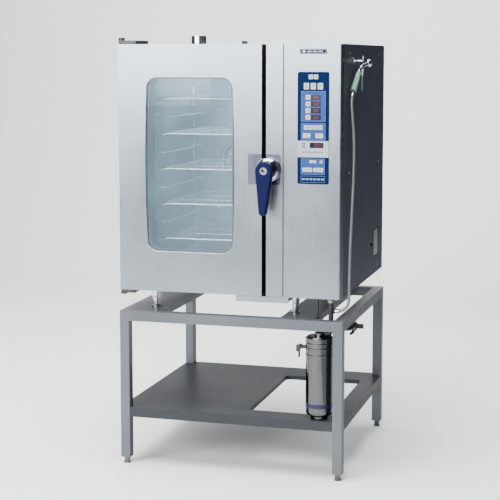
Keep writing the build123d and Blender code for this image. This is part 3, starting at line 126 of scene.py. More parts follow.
def grain_group():
    """Brushed grain: a stretched noise that moves roughness and the normal."""
    group, inlet, outlet = new_group("brushed_grain", [
        ("Stretch", "INPUT", "NodeSocketVector", (40, 40, 1200)),
        ("Depth", "INPUT", "NodeSocketFloat", 0.12),
        ("Smoothest", "INPUT", "NodeSocketFloat", 0.24),
        ("Roughest", "INPUT", "NodeSocketFloat", 0.42),
        ("Roughness", "OUTPUT", "NodeSocketFloat", None),
        ("Shade", "OUTPUT", "NodeSocketFloat", None),
        ("Normal", "OUTPUT", "NodeSocketVector", None)])
    place = add_node(group, "ShaderNodeTexCoord")
    stretch = add_node(group, "ShaderNodeVectorMath", operation="MULTIPLY")
    fine = add_node(group, "ShaderNodeTexNoise")
    set_inputs(fine, Scale=1.0, Detail=5.0, Roughness=0.6)
    broad = add_node(group, "ShaderNodeTexNoise")
    set_inputs(broad, Scale=3.1, Detail=3.0, Roughness=0.55)
    both = add_node(group, "ShaderNodeMath", operation="MULTIPLY_ADD")
    both.inputs[1].default_value = 0.6
    spread = add_node(group, "ShaderNodeMapRange")
    bump = add_node(group, "ShaderNodeBump")
    set_inputs(bump, Distance=0.0002)
    wire(group, (place, "Object", stretch, 0), (inlet, "Stretch", stretch, 1),
         (stretch, 0, fine, "Vector"), (place, "Object", broad, "Vector"), (fine, "Fac", both, 0),
         (broad, "Fac", both, 2), (both, 0, spread, "Value"))
    spread.inputs["From Min"].default_value = 0.45
    spread.inputs["From Max"].default_value = 1.15
    wire(group, (inlet, "Smoothest", spread, "To Min"), (inlet, "Roughest", spread, "To Max"),
         (inlet, "Depth", bump, "Strength"), (fine, "Fac", bump, "Height"),
         (spread, "Result", outlet, "Roughness"), (both, 0, outlet, "Shade"),
         (bump, "Normal", outlet, "Normal"))
    return group


def smear_group():
    """Wiping marks and finger grease: a soft mask from slow noise."""
    group, inlet, outlet = new_group("wipe_marks", [
        ("Size", "INPUT", "NodeSocketFloat", 5.0),
        ("Cover", "INPUT", "NodeSocketFloat", 0.35),
        ("Mask", "OUTPUT", "NodeSocketFloat", None)])
    place = add_node(group, "ShaderNodeTexCoord")
    noise = add_node(group, "ShaderNodeTexNoise")
    set_inputs(noise, Detail=6.0, Roughness=0.62, Distortion=0.8)
    spread = add_node(group, "ShaderNodeMapRange")
    spread.inputs["From Min"].default_value = 0.42
    spread.inputs["From Max"].default_value = 0.72
    wire(group, (place, "Object", noise, "Vector"), (inlet, "Size", noise, "Scale"),
         (noise, "Fac", spread, "Value"), (inlet, "Cover", spread, "To Max"),
         (spread, "Result", outlet, "Mask"))
    return group


def speckle_group():
    """Fine orange-peel or moulded texture."""
    group, inlet, outlet = new_group("moulded_skin", [
        ("Size", "INPUT", "NodeSocketFloat", 900.0),
        ("Depth", "INPUT", "NodeSocketFloat", 0.15),
        ("Shade", "OUTPUT", "NodeSocketFloat", None),
        ("Normal", "OUTPUT", "NodeSocketVector", None)])
    place = add_node(group, "ShaderNodeTexCoord")
    noise = add_node(group, "ShaderNodeTexNoise")
    set_inputs(noise, Detail=2.0, Roughness=0.5)
    bump = add_node(group, "ShaderNodeBump")
    set_inputs(bump, Distance=0.0002)
    wire(group, (place, "Object", noise, "Vector"), (inlet, "Size", noise, "Scale"),
         (inlet, "Depth", bump, "Strength"), (noise, "Fac", bump, "Height"),
         (noise, "Fac", outlet, "Shade"), (bump, "Normal", outlet, "Normal"))
    return group


def shared(name, maker):
    """A shader group, made once."""
    return bpy.data.node_groups.get(name) or maker()


def new_material(name):
    """Material with only an output and a Principled shader."""
    material = bpy.data.materials.new(name)
    FINISHES[name] = material
    material.use_nodes = True
    tree = material.node_tree
    tree.nodes.clear()
    outlet = add_node(tree, "ShaderNodeOutputMaterial")
    shader = add_node(tree, "ShaderNodeBsdfPrincipled")
    tree.links.new(shader.outputs["BSDF"], outlet.inputs["Surface"])
    return material, tree, shader


def mixed_colour(tree, shader, mask, dark, light):
    """Base colour between two shades, by a mask."""
    mix = add_node(tree, "ShaderNodeMix", data_type="RGBA")
    mix.inputs[6].default_value = (*dark, 1.0)
    mix.inputs[7].default_value = (*light, 1.0)
    tree.links.new(mask, mix.inputs[0])
    tree.links.new(mix.outputs[2], shader.inputs["Base Color"])


# ------------------------------------------------------------------ finishes
def brushed_metal(name, dark, light, stretch, smoothest=0.24, roughest=0.42, depth=0.12,
                  metallic=1.0, ior=1.5):
    """Sheet or tube with a directional grain and faint wiping marks."""
    if name in FINISHES:
        return FINISHES[name]
    material, tree, shader = new_material(name)
    grain = add_node(tree, "ShaderNodeGroup", node_tree=shared("brushed_grain", grain_group))
    set_inputs(grain, Stretch=stretch, Depth=depth, Smoothest=smoothest, Roughest=roughest)
    smear = add_node(tree, "ShaderNodeGroup", node_tree=shared("wipe_marks", smear_group))
    set_inputs(smear, Size=2.6, Cover=0.035)
    add = add_node(tree, "ShaderNodeMath", operation="ADD")
    tone = add_node(tree, "ShaderNodeMapRange")
    tone.inputs["From Min"].default_value = 0.4
    tone.inputs["From Max"].default_value = 1.1
    wire(tree, (grain, "Roughness", add, 0), (smear, "Mask", add, 1),
         (add, 0, shader, "Roughness"), (grain, "Normal", shader, "Normal"),
         (grain, "Shade", tone, "Value"))
    mixed_colour(tree, shader, tone.outputs["Result"], tuple(dark), tuple(light))
    set_inputs(shader, Metallic=metallic, IOR=ior)
    return material


def polished_metal(name, dark, light, roughness=0.08, marks=0.10):
    """Chrome or polished steel with faint water marks."""
    if name in FINISHES:
        return FINISHES[name]
    material, tree, shader = new_material(name)
    smear = add_node(tree, "ShaderNodeGroup", node_tree=shared("wipe_marks", smear_group))
    set_inputs(smear, Size=26.0, Cover=marks)
    add = add_node(tree, "ShaderNodeMath", operation="ADD")
    add.inputs[1].default_value = roughness
    tree.links.new(smear.outputs["Mask"], add.inputs[0])
    tree.links.new(add.outputs[0], shader.inputs["Roughness"])
    tone = add_node(tree, "ShaderNodeMath", operation="MULTIPLY")
    tone.inputs[1].default_value = 1.0 / max(marks, 0.01)
    tree.links.new(smear.outputs["Mask"], tone.inputs[0])
    mixed_colour(tree, shader, tone.outputs[0], light, dark)
    set_inputs(shader, Metallic=1.0)
    return material


def moulded(name, dark, light, roughness=0.4, size=900.0, depth=0.15, coat=0.0, ior=1.45):
    """Plastic, rubber or print with a fine skin and a slight change of shade."""
    if name in FINISHES:
        return FINISHES[name]
    material, tree, shader = new_material(name)
    skin = add_node(tree, "ShaderNodeGroup", node_tree=shared("moulded_skin", speckle_group))
    set_inputs(skin, Size=size, Depth=depth)
    smear = add_node(tree, "ShaderNodeGroup", node_tree=shared("wipe_marks", smear_group))
    set_inputs(smear, Size=14.0, Cover=0.08)
    add = add_node(tree, "ShaderNodeMath", operation="ADD")
    add.inputs[1].default_value = roughness
    tree.links.new(smear.outputs["Mask"], add.inputs[0])
    tree.links.new(add.outputs[0], shader.inputs["Roughness"])
    tree.links.new(skin.outputs["Normal"], shader.inputs["Normal"])
    mixed_colour(tree, shader, skin.outputs["Shade"], dark, light)
    set_inputs(shader, IOR=ior)
    shader.inputs["Coat Weight"].default_value = coat
    shader.inputs["Coat Roughness"].default_value = 0.08
    return material


def pane_glass(name, tint, alpha):
    """Thin pane: a light film of tint and a clear gloss."""
    if name in FINISHES:
        return FINISHES[name]
    material, tree, shader = new_material(name)
    smear = add_node(tree, "ShaderNodeGroup", node_tree=shared("wipe_marks", smear_group))
    set_inputs(smear, Size=3.5, Cover=0.10)
    add = add_node(tree, "ShaderNodeMath", operation="ADD")
    add.inputs[1].default_value = alpha
    tree.links.new(smear.outputs["Mask"], add.inputs[0])
    tree.links.new(add.outputs[0], shader.inputs["Alpha"])
    shader.inputs["Base Color"].default_value = (*tint, 1.0)
    set_inputs(shader, Roughness=0.04, IOR=1.5)
    return material


def braided(name):
    """Woven steel sleeve, drawn on the hose's own UV map."""
    if name in FINISHES:
        return FINISHES[name]
    material, tree, shader = new_material(name)
    uv = add_node(tree, "ShaderNodeUVMap", uv_map="sleeve")
    heights = []
    for lean in (1.0, -1.0):
        turn = add_node(tree, "ShaderNodeVectorMath", operation="DOT_PRODUCT")
        turn.inputs[1].default_value = (8.0, lean * 8.0, 0.0)
        wave = add_node(tree, "ShaderNodeMath", operation="MULTIPLY")
        wave.inputs[1].default_value = 2 * pi
        ridge = add_node(tree, "ShaderNodeMath", operation="SINE")
        tree.links.new(uv.outputs["UV"], turn.inputs[0])
        tree.links.new(turn.outputs["Value"], wave.inputs[0])
        tree.links.new(wave.outputs[0], ridge.inputs[0])
        heights.append(ridge)
    top = add_node(tree, "ShaderNodeMath", operation="MAXIMUM")
    tree.links.new(heights[0].outputs[0], top.inputs[0])
    tree.links.new(heights[1].outputs[0], top.inputs[1])
    spread = add_node(tree, "ShaderNodeMapRange")
    spread.inputs["From Min"].default_value = -0.4
    tree.links.new(top.outputs[0], spread.inputs["Value"])
    bump = add_node(tree, "ShaderNodeBump")
    set_inputs(bump, Strength=0.9, Distance=0.0006)
    tree.links.new(spread.outputs["Result"], bump.inputs["Height"])
    tree.links.new(bump.outputs["Normal"], shader.inputs["Normal"])
    mixed_colour(tree, shader, spread.outputs["Result"], (0.05, 0.055, 0.045), (0.36, 0.37, 0.33))
    set_inputs(shader, Metallic=0.75, Roughness=0.34)
    return material


UP = (55.0, 55.0, 1.4)        # grain that runs up and down
ACROSS = (1.4, 55.0, 55.0)    # grain that runs left to right
BACK = (55.0, 1.4, 55.0)      # grain that runs front to back
LEVEL = (30.0, 30.0, 60.0)    # fine grain with no direction


def fine(stretch, factor=14.0):
    """The same grain at sheet-metal fineness."""
    return tuple(value * factor if value > 2 else value * 2 for value in stretch)


COMMON = {
    # moulded finishes that several parts wear: dark and light shade, roughness, skin's size
    "dark_casting": ((0.012, 0.012, 0.016), (0.03, 0.03, 0.036), 0.38, 500),
    "white_print": ((0.46, 0.48, 0.52), (0.52, 0.54, 0.58), 0.4, 900.0),
    "dark_ink": ((0.01, 0.01, 0.02), (0.02, 0.02, 0.03), 0.5, 900.0),
}


def common_finish(name):
    """A finish that several parts wear."""
    return moulded(name, *COMMON[name])


def navy_ground(context):
    """Navy of the printed panel and the blank plates."""
    navy = tuple(context.scene.oven_controls.navy)
    return moulded("navy_ground", navy, navy, 0.5, ior=1.12)


# ------------------------------------------------------------------ mesh helpers
def finish_mesh(name, bm, material, body, smooth=30.0):
    """Object from a bmesh, in place, with a finish, riding on a body."""
    bmesh.ops.remove_doubles(bm, verts=bm.verts, dist=1e-6)
    bmesh.ops.recalc_face_normals(bm, faces=bm.faces)
    mesh = bpy.data.meshes.new(name)
    bm.to_mesh(mesh)
    bm.free()
    return place_mesh(name, mesh, material, body, smooth)


def place_mesh(name, mesh, material, body, smooth=30.0):
    """Object from a mesh that is already in place."""
    mesh.materials.clear()
    mesh.materials.append(material)
    piece = bpy.data.objects.new(name, mesh)
    bpy.context.scene.collection.objects.link(piece)
    mesh.shade_smooth()
    mesh.set_sharp_from_angle(angle=radians(smooth))
    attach(piece, body)
    return piece


def rounded_outline(x0, x1, z0, z1, radius, steps=5):
    """Corner points of a rounded rectangle, anticlockwise as the user sees it."""
    radius = min(radius, (x1 - x0) / 2 - 1e-6, (z1 - z0) / 2 - 1e-6)
    corners = ((x1 - radius, z1 - radius, 0), (x0 + radius, z1 - radius, 90),
               (x0 + radius, z0 + radius, 180), (x1 - radius, z0 + radius, 270))
    points = []
    for cx, cz, start in corners:
        for step in range(steps + 1):
            angle = radians(start + 90 * step / steps)
            points.append((cx + radius * cos(angle), cz + radius * sin(angle)))
    return points


def datum_outline(x0, x1, z0, z1, radius):
    """Rounded rectangle given from the cabinet's datum."""
    return rounded_outline(DATUM.x + x0, DATUM.x + x1, DATUM.z + z0, DATUM.z + z1, radius)


def circle(x, z, radius, steps):
    """Points of a circle in the front's plane."""
    return [(x + radius * cos(2 * pi * k / steps), z + radius * sin(2 * pi * k / steps))
            for k in range(steps)]


def join_rows(bm, first, second):
    """Faces between two closed rows of corners."""
    count = len(first)
    for i in range(count):
        j = (i + 1) % count
        bm.faces.new((first[i], first[j], second[j], second[i]))


def add_plate(bm, outline, y_front, y_back):
    """Flat plate between two depths, from (x, z) points."""
    front = [bm.verts.new((x, y_front, z)) for x, z in outline]
    back = [bm.verts.new((x, y_back, z)) for x, z in outline]
    bm.faces.new(front)
    bm.faces.new(back[::-1])
    count = len(outline)
    for i in range(count):
        j = (i + 1) % count
        bm.faces.new((front[i], back[i], back[j], front[j]))


def add_box(bm, low, high):
    """Box between two corners."""
    made = bmesh.ops.create_cube(bm, size=1.0)["verts"]
    size = Vector(high) - Vector(low)
    centre = (Vector(high) + Vector(low)) / 2
    bmesh.ops.transform(bm, matrix=Matrix.Translation(centre)
                        @ Matrix.Diagonal((size.x, size.y, size.z, 1)), verts=made)


def densify(points, pitch):
    """The same closed outline with no side longer than a pitch."""
    result = []
    for (x, z), (u, w) in zip(points, points[1:] + points[:1]):
        length = ((u - x) ** 2 + (w - z) ** 2) ** 0.5
        steps = max(1, round(length / pitch))
        for step in range(steps):
            share = step / steps
            result.append((x + (u - x) * share, z + (w - z) * share))
    return result


def strips_round(x0, x1, z0, z1, holes):
    """Rectangles that tile a rectangle and leave holes of one row or one column free."""
    strips = []
    edges = sorted({z0, z1, *[v for hole in holes for v in hole[2:] if z0 < v < z1]})
    for low, high in zip(edges, edges[1:]):
        middle = (low + high) / 2
        blocked = sorted(hole[:2] for hole in holes if hole[2] < middle < hole[3])
        left = x0
        for start, end in blocked:
            if start > left:
                strips.append((left, start, low, high))
            left = max(left, end)
        if left < x1:
            strips.append((left, x1, low, high))
    return strips


def add_ring_plate(bm, outer, inner, y_front, y_back):
    """Flat frame between two outlines of the same number of points."""
    rows = [[bm.verts.new((x, y, z)) for x, z in outline]
            for outline, y in ((outer, y_front), (inner, y_front), (inner, y_back),
                               (outer, y_back))]
    count = len(outer)
    for row in range(4):
        after = rows[(row + 1) % 4]
        for i in range(count):
            j = (i + 1) % count
            bm.faces.new((rows[row][i], after[i], after[j], rows[row][j]))


def add_lathe(bm, profile, centre, axis, steps=48):
    """Solid turned from (radius, distance) points about an axis through a centre."""
    turn = Vector((0, 0, 1)).rotation_difference(Vector(axis)).to_matrix()
    rings = []
    for radius, distance in profile:
        ring = []
        if radius < 1e-7:
            ring = [bm.verts.new(Vector(centre) + turn @ Vector((0, 0, distance)))]
        else:
            for step in range(steps):
                angle = 2 * pi * step / steps
                spot = Vector((radius * cos(angle), radius * sin(angle), distance))
                ring.append(bm.verts.new(Vector(centre) + turn @ spot))
        rings.append(ring)
    for lower, upper in zip(rings, rings[1:]):
        for step in range(steps):
            after = (step + 1) % steps
            corners = []
            for vert in (lower[step % len(lower)], lower[after % len(lower)],
                         upper[after % len(upper)], upper[step % len(upper)]):
                if vert not in corners:
                    corners.append(vert)
            if len(corners) > 2:
                bm.faces.new(corners)


def closed_profile(points):
    """Profile of a ring, ended where it began."""
    return [*points, points[0]]


def add_tube(bm, points, radius, steps=16, closed=False):
    """Round tube along points, with its ends closed."""
    points = [Vector(p) for p in points]
    count = len(points)
    rings = []
    side = None
    for i, point in enumerate(points):
        before = points[i - 1] if i or closed else point
        after = points[(i + 1) % count] if i < count - 1 or closed else point
        ahead = (after - before).normalized()
        if side is None:
            side = ahead.orthogonal().normalized()
        side = (side - ahead * side.dot(ahead)).normalized()
        across = ahead.cross(side)
        rings.append([bm.verts.new(point + radius * (side * cos(2 * pi * k / steps)
                                                      + across * sin(2 * pi * k / steps)))
                      for k in range(steps)])
    pairs = list(zip(rings, rings[1:] + rings[:1])) if closed else list(zip(rings, rings[1:]))
    for lower, upper in pairs:
        join_rows(bm, lower, upper)
    if not closed:
        bm.faces.new(rings[0][::-1])
        bm.faces.new(rings[-1])
    return rings


def finish_node(material, *names):
    """Give CAD nodes a finish."""
    for name in names:
        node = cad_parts[name]
        node.data.materials.clear()
        node.data.materials.append(material)


def repeated(name, source, spots, turn, material, body):
    """Geometry Nodes: one copy of a small mesh at every spot, made a plain mesh."""
    tree = bpy.data.node_groups.new(name, "GeometryNodeTree")
    tree.interface.new_socket(name="Spots", in_out="INPUT", socket_type="NodeSocketGeometry")
    source_socket = tree.interface.new_socket(
        name="Source", in_out="INPUT", socket_type="NodeSocketObject")
    turn_socket = tree.interface.new_socket(
        name="Turn", in_out="INPUT", socket_type="NodeSocketVector")
    tree.interface.new_socket(name="Mesh", in_out="OUTPUT", socket_type="NodeSocketGeometry")
    inlet = add_node(tree, "NodeGroupInput")
    outlet = add_node(tree, "NodeGroupOutput")
    points = add_node(tree, "GeometryNodeMeshToPoints")
    shape = add_node(tree, "GeometryNodeObjectInfo")
    copies = add_node(tree, "GeometryNodeInstanceOnPoints")
    spin = add_node(tree, "FunctionNodeEulerToRotation")
    real = add_node(tree, "GeometryNodeRealizeInstances")
    coat = add_node(tree, "GeometryNodeSetMaterial")
    coat.inputs["Material"].default_value = material
    wire(tree, (inlet, "Spots", points, "Mesh"), (inlet, "Source", shape, "Object"),
         (inlet, "Turn", spin, "Euler"), (points, "Points", copies, "Points"),
         (shape, "Geometry", copies, "Instance"), (spin, "Rotation", copies, "Rotation"),
         (copies, "Instances", real, "Geometry"), (real, "Geometry", coat, "Geometry"),
         (coat, "Geometry", outlet, "Mesh"))
    seed = bpy.data.meshes.new(name + "_spots")
    seed.from_pydata([tuple(spot) for spot in spots], [], [])
    carrier = bpy.data.objects.new(name + "_carrier", seed)
    bpy.context.scene.collection.objects.link(carrier)
    modifier = carrier.modifiers.new("copies", "NODES")
    modifier.node_group = tree
    modifier[source_socket.identifier] = source
    modifier[turn_socket.identifier] = turn
    graph = bpy.context.evaluated_depsgraph_get()
    graph.update()
    mesh = bpy.data.meshes.new_from_object(carrier.evaluated_get(graph))
    bpy.data.objects.remove(carrier)
    bpy.data.objects.remove(source)
    if not mesh.polygons:
        raise RuntimeError(f"{name} came out empty")
    return place_mesh(name, mesh, material, body)


def loose_object(name, bm):
    """Object that only serves as the source of copies."""
    bmesh.ops.recalc_face_normals(bm, faces=bm.faces)
    mesh = bpy.data.meshes.new(name)
    bm.to_mesh(mesh)
    bm.free()
    source = bpy.data.objects.new(name, mesh)
    bpy.context.scene.collection.objects.link(source)
    return source


# ------------------------------------------------------------------ settings
def colour_setting(name, description, default):
    """Setting that holds a colour."""
    return FloatVectorProperty(name=name, description=description, default=default,
                               subtype="COLOR", min=0, max=1)


def power_setting(name, description, default):
    """Setting that holds a lamp's power or strength."""
    return FloatProperty(name=name, description=description, default=default, min=0)


class OvenSteel(bpy.types.PropertyGroup):
    """Colours of the cabinet's and stand's sheet metal."""
    light: colour_setting(
        "Light steel", "Lighter shade of the brushed front", (0.262, 0.296, 0.328))
    dark: colour_setting(
        "Dark steel", "Darker shade of the brushed front", (0.205, 0.236, 0.268))
    stand_light: colour_setting(
        "Light stand steel", "Lighter shade of the stand", (0.285, 0.31, 0.345))
    stand_dark: colour_setting(
        "Dark stand steel", "Darker shade of the stand", (0.19, 0.21, 0.24))
    # Right side: stainless steel whose colour is darkened as painted shade, because that side is
    # turned from the lights.
    side_shade_light: colour_setting(
        "Light painted side shade", "Lighter shade of the right side", (0.064, 0.070, 0.100))
    side_shade_dark: colour_setting(
        "Dark painted side shade", "Darker shade of the right side", (0.046, 0.051, 0.074))
    screw_radius: FloatProperty(
        name="Screw radius", description="Radius of a cover screw's head",
        default=0.005, unit="LENGTH")
    louvre_width: FloatProperty(
        name="Louvre width", description="Width of one pressed louvre at the back",
        default=0.150, unit="LENGTH")


class OvenControls(bpy.types.PropertyGroup):
    """Colours of the control panel and the lever."""
    navy: colour_setting("Navy", "Ground colour of the printed panel", (0.0008, 0.008, 0.042))
    field: colour_setting("Field", "Light blue printed fields", (0.012, 0.048, 0.185))
    band: colour_setting("Band", "Silver band across the panel", (0.30, 0.34, 0.42))
    lever: colour_setting("Lever", "Colour of the door lever", (0.0025, 0.004, 0.036))
    dots: IntProperty(
        name="Band marks", description="Number of small marks in the silver band",
        default=7, min=1, max=20)


class OvenHose(bpy.types.PropertyGroup):
    """Sizes of the spray hose's sleeve."""
    sides: IntProperty(
        name="Sides", description="Facets round the hose", default=20, min=8, max=64)
    lay: FloatProperty(
        name="Lay", description="Length of hose that one turn of the braid takes",
        default=0.030, unit="LENGTH")


class OvenStage(bpy.types.PropertyGroup):
    """Floor and lights."""
    floor: colour_setting("Floor", "Colour of floor and backdrop", (0.90, 0.905, 0.91))
    surround_floor: colour_setting(
        "Surround floor", "Colour of the floor beyond the paper", (0.42, 0.425, 0.43))
    left_power: power_setting("Left box", "Power of the soft box at the front left", 420.0)
    upper_power: power_setting("Upper box", "Power of the soft box above the camera", 300.0)
    top_power: power_setting("Top box", "Power of the soft box overhead", 700.0)
    wall_power: power_setting("Wall box", "Power of the soft box at the backdrop", 260.0)
    surround: power_setting("Surround", "Strength of the even light all round", 0.06)


# ------------------------------------------------------------------ operators
class OVEN_OT_stage(bpy.types.Operator):
    """Floor, backdrop, lights and camera"""
    bl_idname = "oven.stage"
    bl_label = "Stage"

    def execute(self, context):
        settings = context.scene.oven_stage
        self.floor(settings)
        self.lights(context, settings)
        self.camera(context)
        return {"FINISHED"}

    def floor(self, settings):
        """White paper that curves up behind, on a wide floor of a middle grey."""
        left, front, depth, bend, top = -6.5, -6.5, 5.5, 2.0, 8.0
        right, narrowing = 1.10, 0.095      # the paper's right edge at y = 0, and its slant
        rows = [(front, 0.0), (depth - bend, 0.0)]
        for step in range(1, 13):
            angle = radians(90 * step / 12)
            rows.append((depth - bend + bend * sin(angle), bend - bend * cos(angle)))
        rows.append((depth, top))
        bm = bmesh.new()
        pairs = [(bm.verts.new((left, y, z)), bm.verts.new((right - narrowing * y, y, z)))
                 for y, z in rows]
        for (a, b), (c, d) in zip(pairs, pairs[1:]):
            bm.faces.new((a, b, d, c))
        paper = self.staged("studio_paper", bm, settings.floor, 0.75)
        bm = bmesh.new()
        bm.faces.new([bm.verts.new((x, y, -0.004)) for x, y in
                      ((-12, -12), (12, -12), (12, 12), (-12, 12))])
        self.staged("studio_floor", bm, settings.surround_floor, 0.7)

    def staged(self, name, bm, colour, roughness):
        """Plain staging mesh with one colour."""
        mesh = bpy.data.meshes.new(name)
        bm.to_mesh(mesh)
        bm.free()
        mesh.shade_smooth()
        mesh.materials.append(moulded(name, tuple(colour), tuple(colour), roughness, depth=0.02))
        thing = bpy.data.objects.new(name, mesh)
        bpy.context.scene.collection.objects.link(thing)
        return thing

    def lights(self, context, settings):
        """Four soft boxes, a lamp in the chamber and an even surround."""
        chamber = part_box("cavity_liner")
        boxes = [
            ("left_box", (-3.0, -5.0, 2.7), (-0.2, -0.4, 1.3), 3.0, settings.left_power,
             (1.0, 1.0, 0.99)),
            ("upper_box", (-0.5, -5.9, 2.75), (0.0, -0.4, 1.5), 2.6, settings.upper_power,
             (0.98, 0.99, 1.0)),
            ("top_box", (-0.5, -1.2, 5.2), (-0.3, -0.6, 0.0), 4.0, settings.top_power,
             (1.0, 1.0, 1.0)),
            ("wall_box", (0.0, 2.4, 5.2), (0.0, 5.5, 1.6), 3.5, settings.wall_power,
             (1.0, 1.0, 1.0)),
            ("chamber_lamp", ((chamber[0].x + chamber[1].x) / 2, chamber[0].y + 0.16,
                              chamber[1].z - 0.012), (-0.1675, 0.35, 1.3), 0.22, 4.0,
             (0.86, 0.95, 1.0)),
        ]
        for name, spot, aim, size, power, colour in boxes:
            data = bpy.data.lights.new(name, "AREA")
            data.shape = "SQUARE"
            data.size = size
            data.energy = power
            data.color = colour
            lamp = bpy.data.objects.new(name, data)
            lamp.location = spot
            lamp.rotation_euler = (Vector(aim) - Vector(spot)).to_track_quat("-Z", "Y").to_euler()
            context.scene.collection.objects.link(lamp)
        world = bpy.data.worlds.new("studio_air")
        world.use_nodes = True
        air = world.node_tree.nodes["Background"]
        air.inputs["Color"].default_value = (0.93, 0.96, 1.0, 1.0)
        air.inputs["Strength"].default_value = settings.surround
        context.scene.world = world

    def camera(self, context):
        """A camera a little to the right at head height, tilted down, its lens shifted a little."""
        data = bpy.data.cameras.new("studio_camera")
        data.sensor_width = 36.0
        data.lens = CAMERA_LENS
        data.shift_y = CAMERA_SHIFT
        camera = bpy.data.objects.new("studio_camera", data)
        camera.location = from_datum(*CAMERA_PLACE)
        camera.rotation_euler = (radians(90 - CAMERA_TILT), 0, radians(CAMERA_TURN))
        context.scene.collection.objects.link(camera)
        context.scene.camera = camera


class OVEN_OT_cabinet(bpy.types.Operator):
    """Finishes of the cabinet's panels, with screws, louvres and plates"""
    bl_idname = "oven.cabinet"
    bl_label = "Cabinet"

    def execute(self, context):
        steel = context.scene.oven_steel
        front = brushed_metal("front_steel", tuple(steel.dark), tuple(steel.light), fine(UP),
                              0.22, 0.30, 0.03)
        side = brushed_metal("side_steel", tuple(steel.dark), tuple(steel.light), fine(UP))
        # The right side's finish is steel darkened in its colour as painted shade. It also covers
        # the fascia's turned side.
        side_shade_finish = brushed_metal("side_steel_painted_shade", tuple(steel.side_shade_dark), tuple(steel.side_shade_light),
                              fine(UP), 0.34, 0.48, 0.05, metallic=0.0, ior=1.08)
        dark = common_finish("dark_casting")
        finish_node(front, "control_fascia", "latch_strip")
        finish_node(side, "left_panel", "top_panel", "front_frame", "base_pan", "rear_panel")
        finish_node(front, "drip_tray")
        finish_node(side_shade_finish, "side_frame", "side_cover")
        finish_node(dark, "hinge_brackets")
        finish_node(polished_metal("vent_steel", (0.5, 0.5, 0.52), (0.82, 0.83, 0.85), 0.16),
                    "vent_pipe")
        self.shade_fascia_side(side_shade_finish)
        self.plates(context)
        self.screws(steel)
        self.louvres(steel, side)
        return {"FINISHED"}

    def shade_fascia_side(self, side_shade_finish):
        """The fascia's turned side: a film that takes the right side's painted shade."""
        low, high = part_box("control_fascia")
        bm = bmesh.new()
        add_box(bm, (high.x - HAIR, low.y + 0.016, low.z + 0.001),
                (high.x + HAIR, high.y, high.z - 0.001))
        finish_mesh("fascia_side_film", bm, side_shade_finish, "oven")

    def plates(self, context):
        """Blank badge with a pale rim, and a blank rating plate with ruled boxes."""
        navy = navy_ground(context)
        pale = common_finish("white_print")
        finish_node(navy, "blank_plates")
        x0, x1, z0, z1 = 0.7335, 0.8377, 0.9318, 0.9510
        face = DATUM.y - 0.001
        bm = bmesh.new()
        rings = [datum_outline(x0 + inset, x1 - inset, z0 + inset, z1 - inset, 0.0016)
                 for inset in (0.0026, 0.0036)]
        add_ring_plate(bm, rings[0], rings[1], face - HAIR, face + HAIR)
        add_plate(bm, circle(DATUM.x + x0 + 0.016, DATUM.z + (z0 + z1) / 2, 0.0052, 24),
                  face - HAIR, face + HAIR)
        for place in range(3):
            left = x0 + 0.028 + 0.022 * place
            add_plate(bm, datum_outline(left, left + 0.017, z0 + 0.0078, z0 + 0.0114, 0.0012),
                      face - HAIR, face + HAIR)
        finish_mesh("badge_rim", bm, pale, "oven")
        plate = [from_datum(0.9008, 0.640, 0.078), from_datum(0.9008, 0.734, 0.192)]
        bm = bmesh.new()
        add_box(bm, (plate[0].x - HAIR, plate[0].y + 0.003, plate[0].z + 0.003),
                (plate[0].x + HAIR, plate[1].y - 0.003, plate[1].z - 0.003))
        finish_mesh("rating_film", bm, brushed_metal(
            "plate_steel", (0.30, 0.31, 0.34), (0.42, 0.43, 0.46), LEVEL), "oven")
        bm = bmesh.new()
        for row in range(6):
            z = plate[0].z + 0.014 + 0.017 * row
            add_box(bm, (plate[0].x, plate[0].y + 0.008, z),
                    (plate[0].x + 2.2 * HAIR, plate[1].y - 0.008, z + 0.0008))
        finish_mesh("rating_rules", bm, common_finish("dark_ink"), "oven")

    def screws(self, steel):
        """Cross-head screws of the service cover."""
        radius = steel.screw_radius
        bm = bmesh.new()
        add_lathe(bm, [(radius, 0), (radius, 0.0006), (radius * 0.86, 0.0015),
                       (radius * 0.45, 0.0021), (0, 0.0023)], (0, 0, 0), (0, 0, 1), 20)
        for turn in (0, 90):
            bar = bmesh.ops.create_cube(bm, size=1.0)["verts"]
            place = (Matrix.Rotation(radians(turn), 4, "Z") @ Matrix.Translation((0, 0, 0.0021))
                     @ Matrix.Diagonal((radius * 1.1, radius * 0.2, 0.0005, 1)))
            bmesh.ops.transform(bm, matrix=place, verts=bar)
        source = loose_object("screw_head", bm)
        low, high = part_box("cover_screws")
        rows = (low.z + radius, (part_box("side_cover")[0].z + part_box("side_cover")[1].z) / 2,
                high.z - radius)
        spots = [(low.x, y, z) for y in (low.y + radius, high.y - radius) for z in rows]
        heads = repeated("cover_screw_heads", source, spots, (0, pi / 2, 0), polished_metal(
            "screw_steel", (0.35, 0.35, 0.37), (0.6, 0.6, 0.62), 0.2), "oven")
        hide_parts("cover_screws")

    def louvres(self, steel, finish):
        """Pressed hoods over the rear panel's slots."""
        half = steel.louvre_width / 2
        section = [(0.000, 0.0055), (0.0030, 0.0030), (0.0044, -0.0012), (0.0048, -0.0050),
                   (0.0040, -0.0050), (0.0036, -0.0012), (0.0024, 0.0020), (0.000, 0.0042)]
        bm = bmesh.new()
        ends = (-half, -half + 0.006, half - 0.006, half)
        rows = []
        for x in ends:
            shrink = 0.25 if abs(x) == half else 1.0
            rows.append([bm.verts.new((x, depth * shrink, z)) for depth, z in section])
        for first, second in zip(rows, rows[1:]):
            join_rows(bm, first, second)
        bm.faces.new(rows[0][::-1])
        bm.faces.new(rows[-1])
        source = loose_object("louvre_hood", bm)
        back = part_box("rear_panel")[1].y
        spots = []
        pitch = 0.024
        for x, z, rows_here in ((0.760, 0.485, 16), (0.305, 0.480, 9)):
            for row in range(rows_here):
                lift = (row - (rows_here - 1) / 2) * pitch
                spots.append((DATUM.x + x, back, DATUM.z + z + lift + 0.002))
        repeated("rear_louvres", source, spots, (0, 0, 0), finish, "oven")


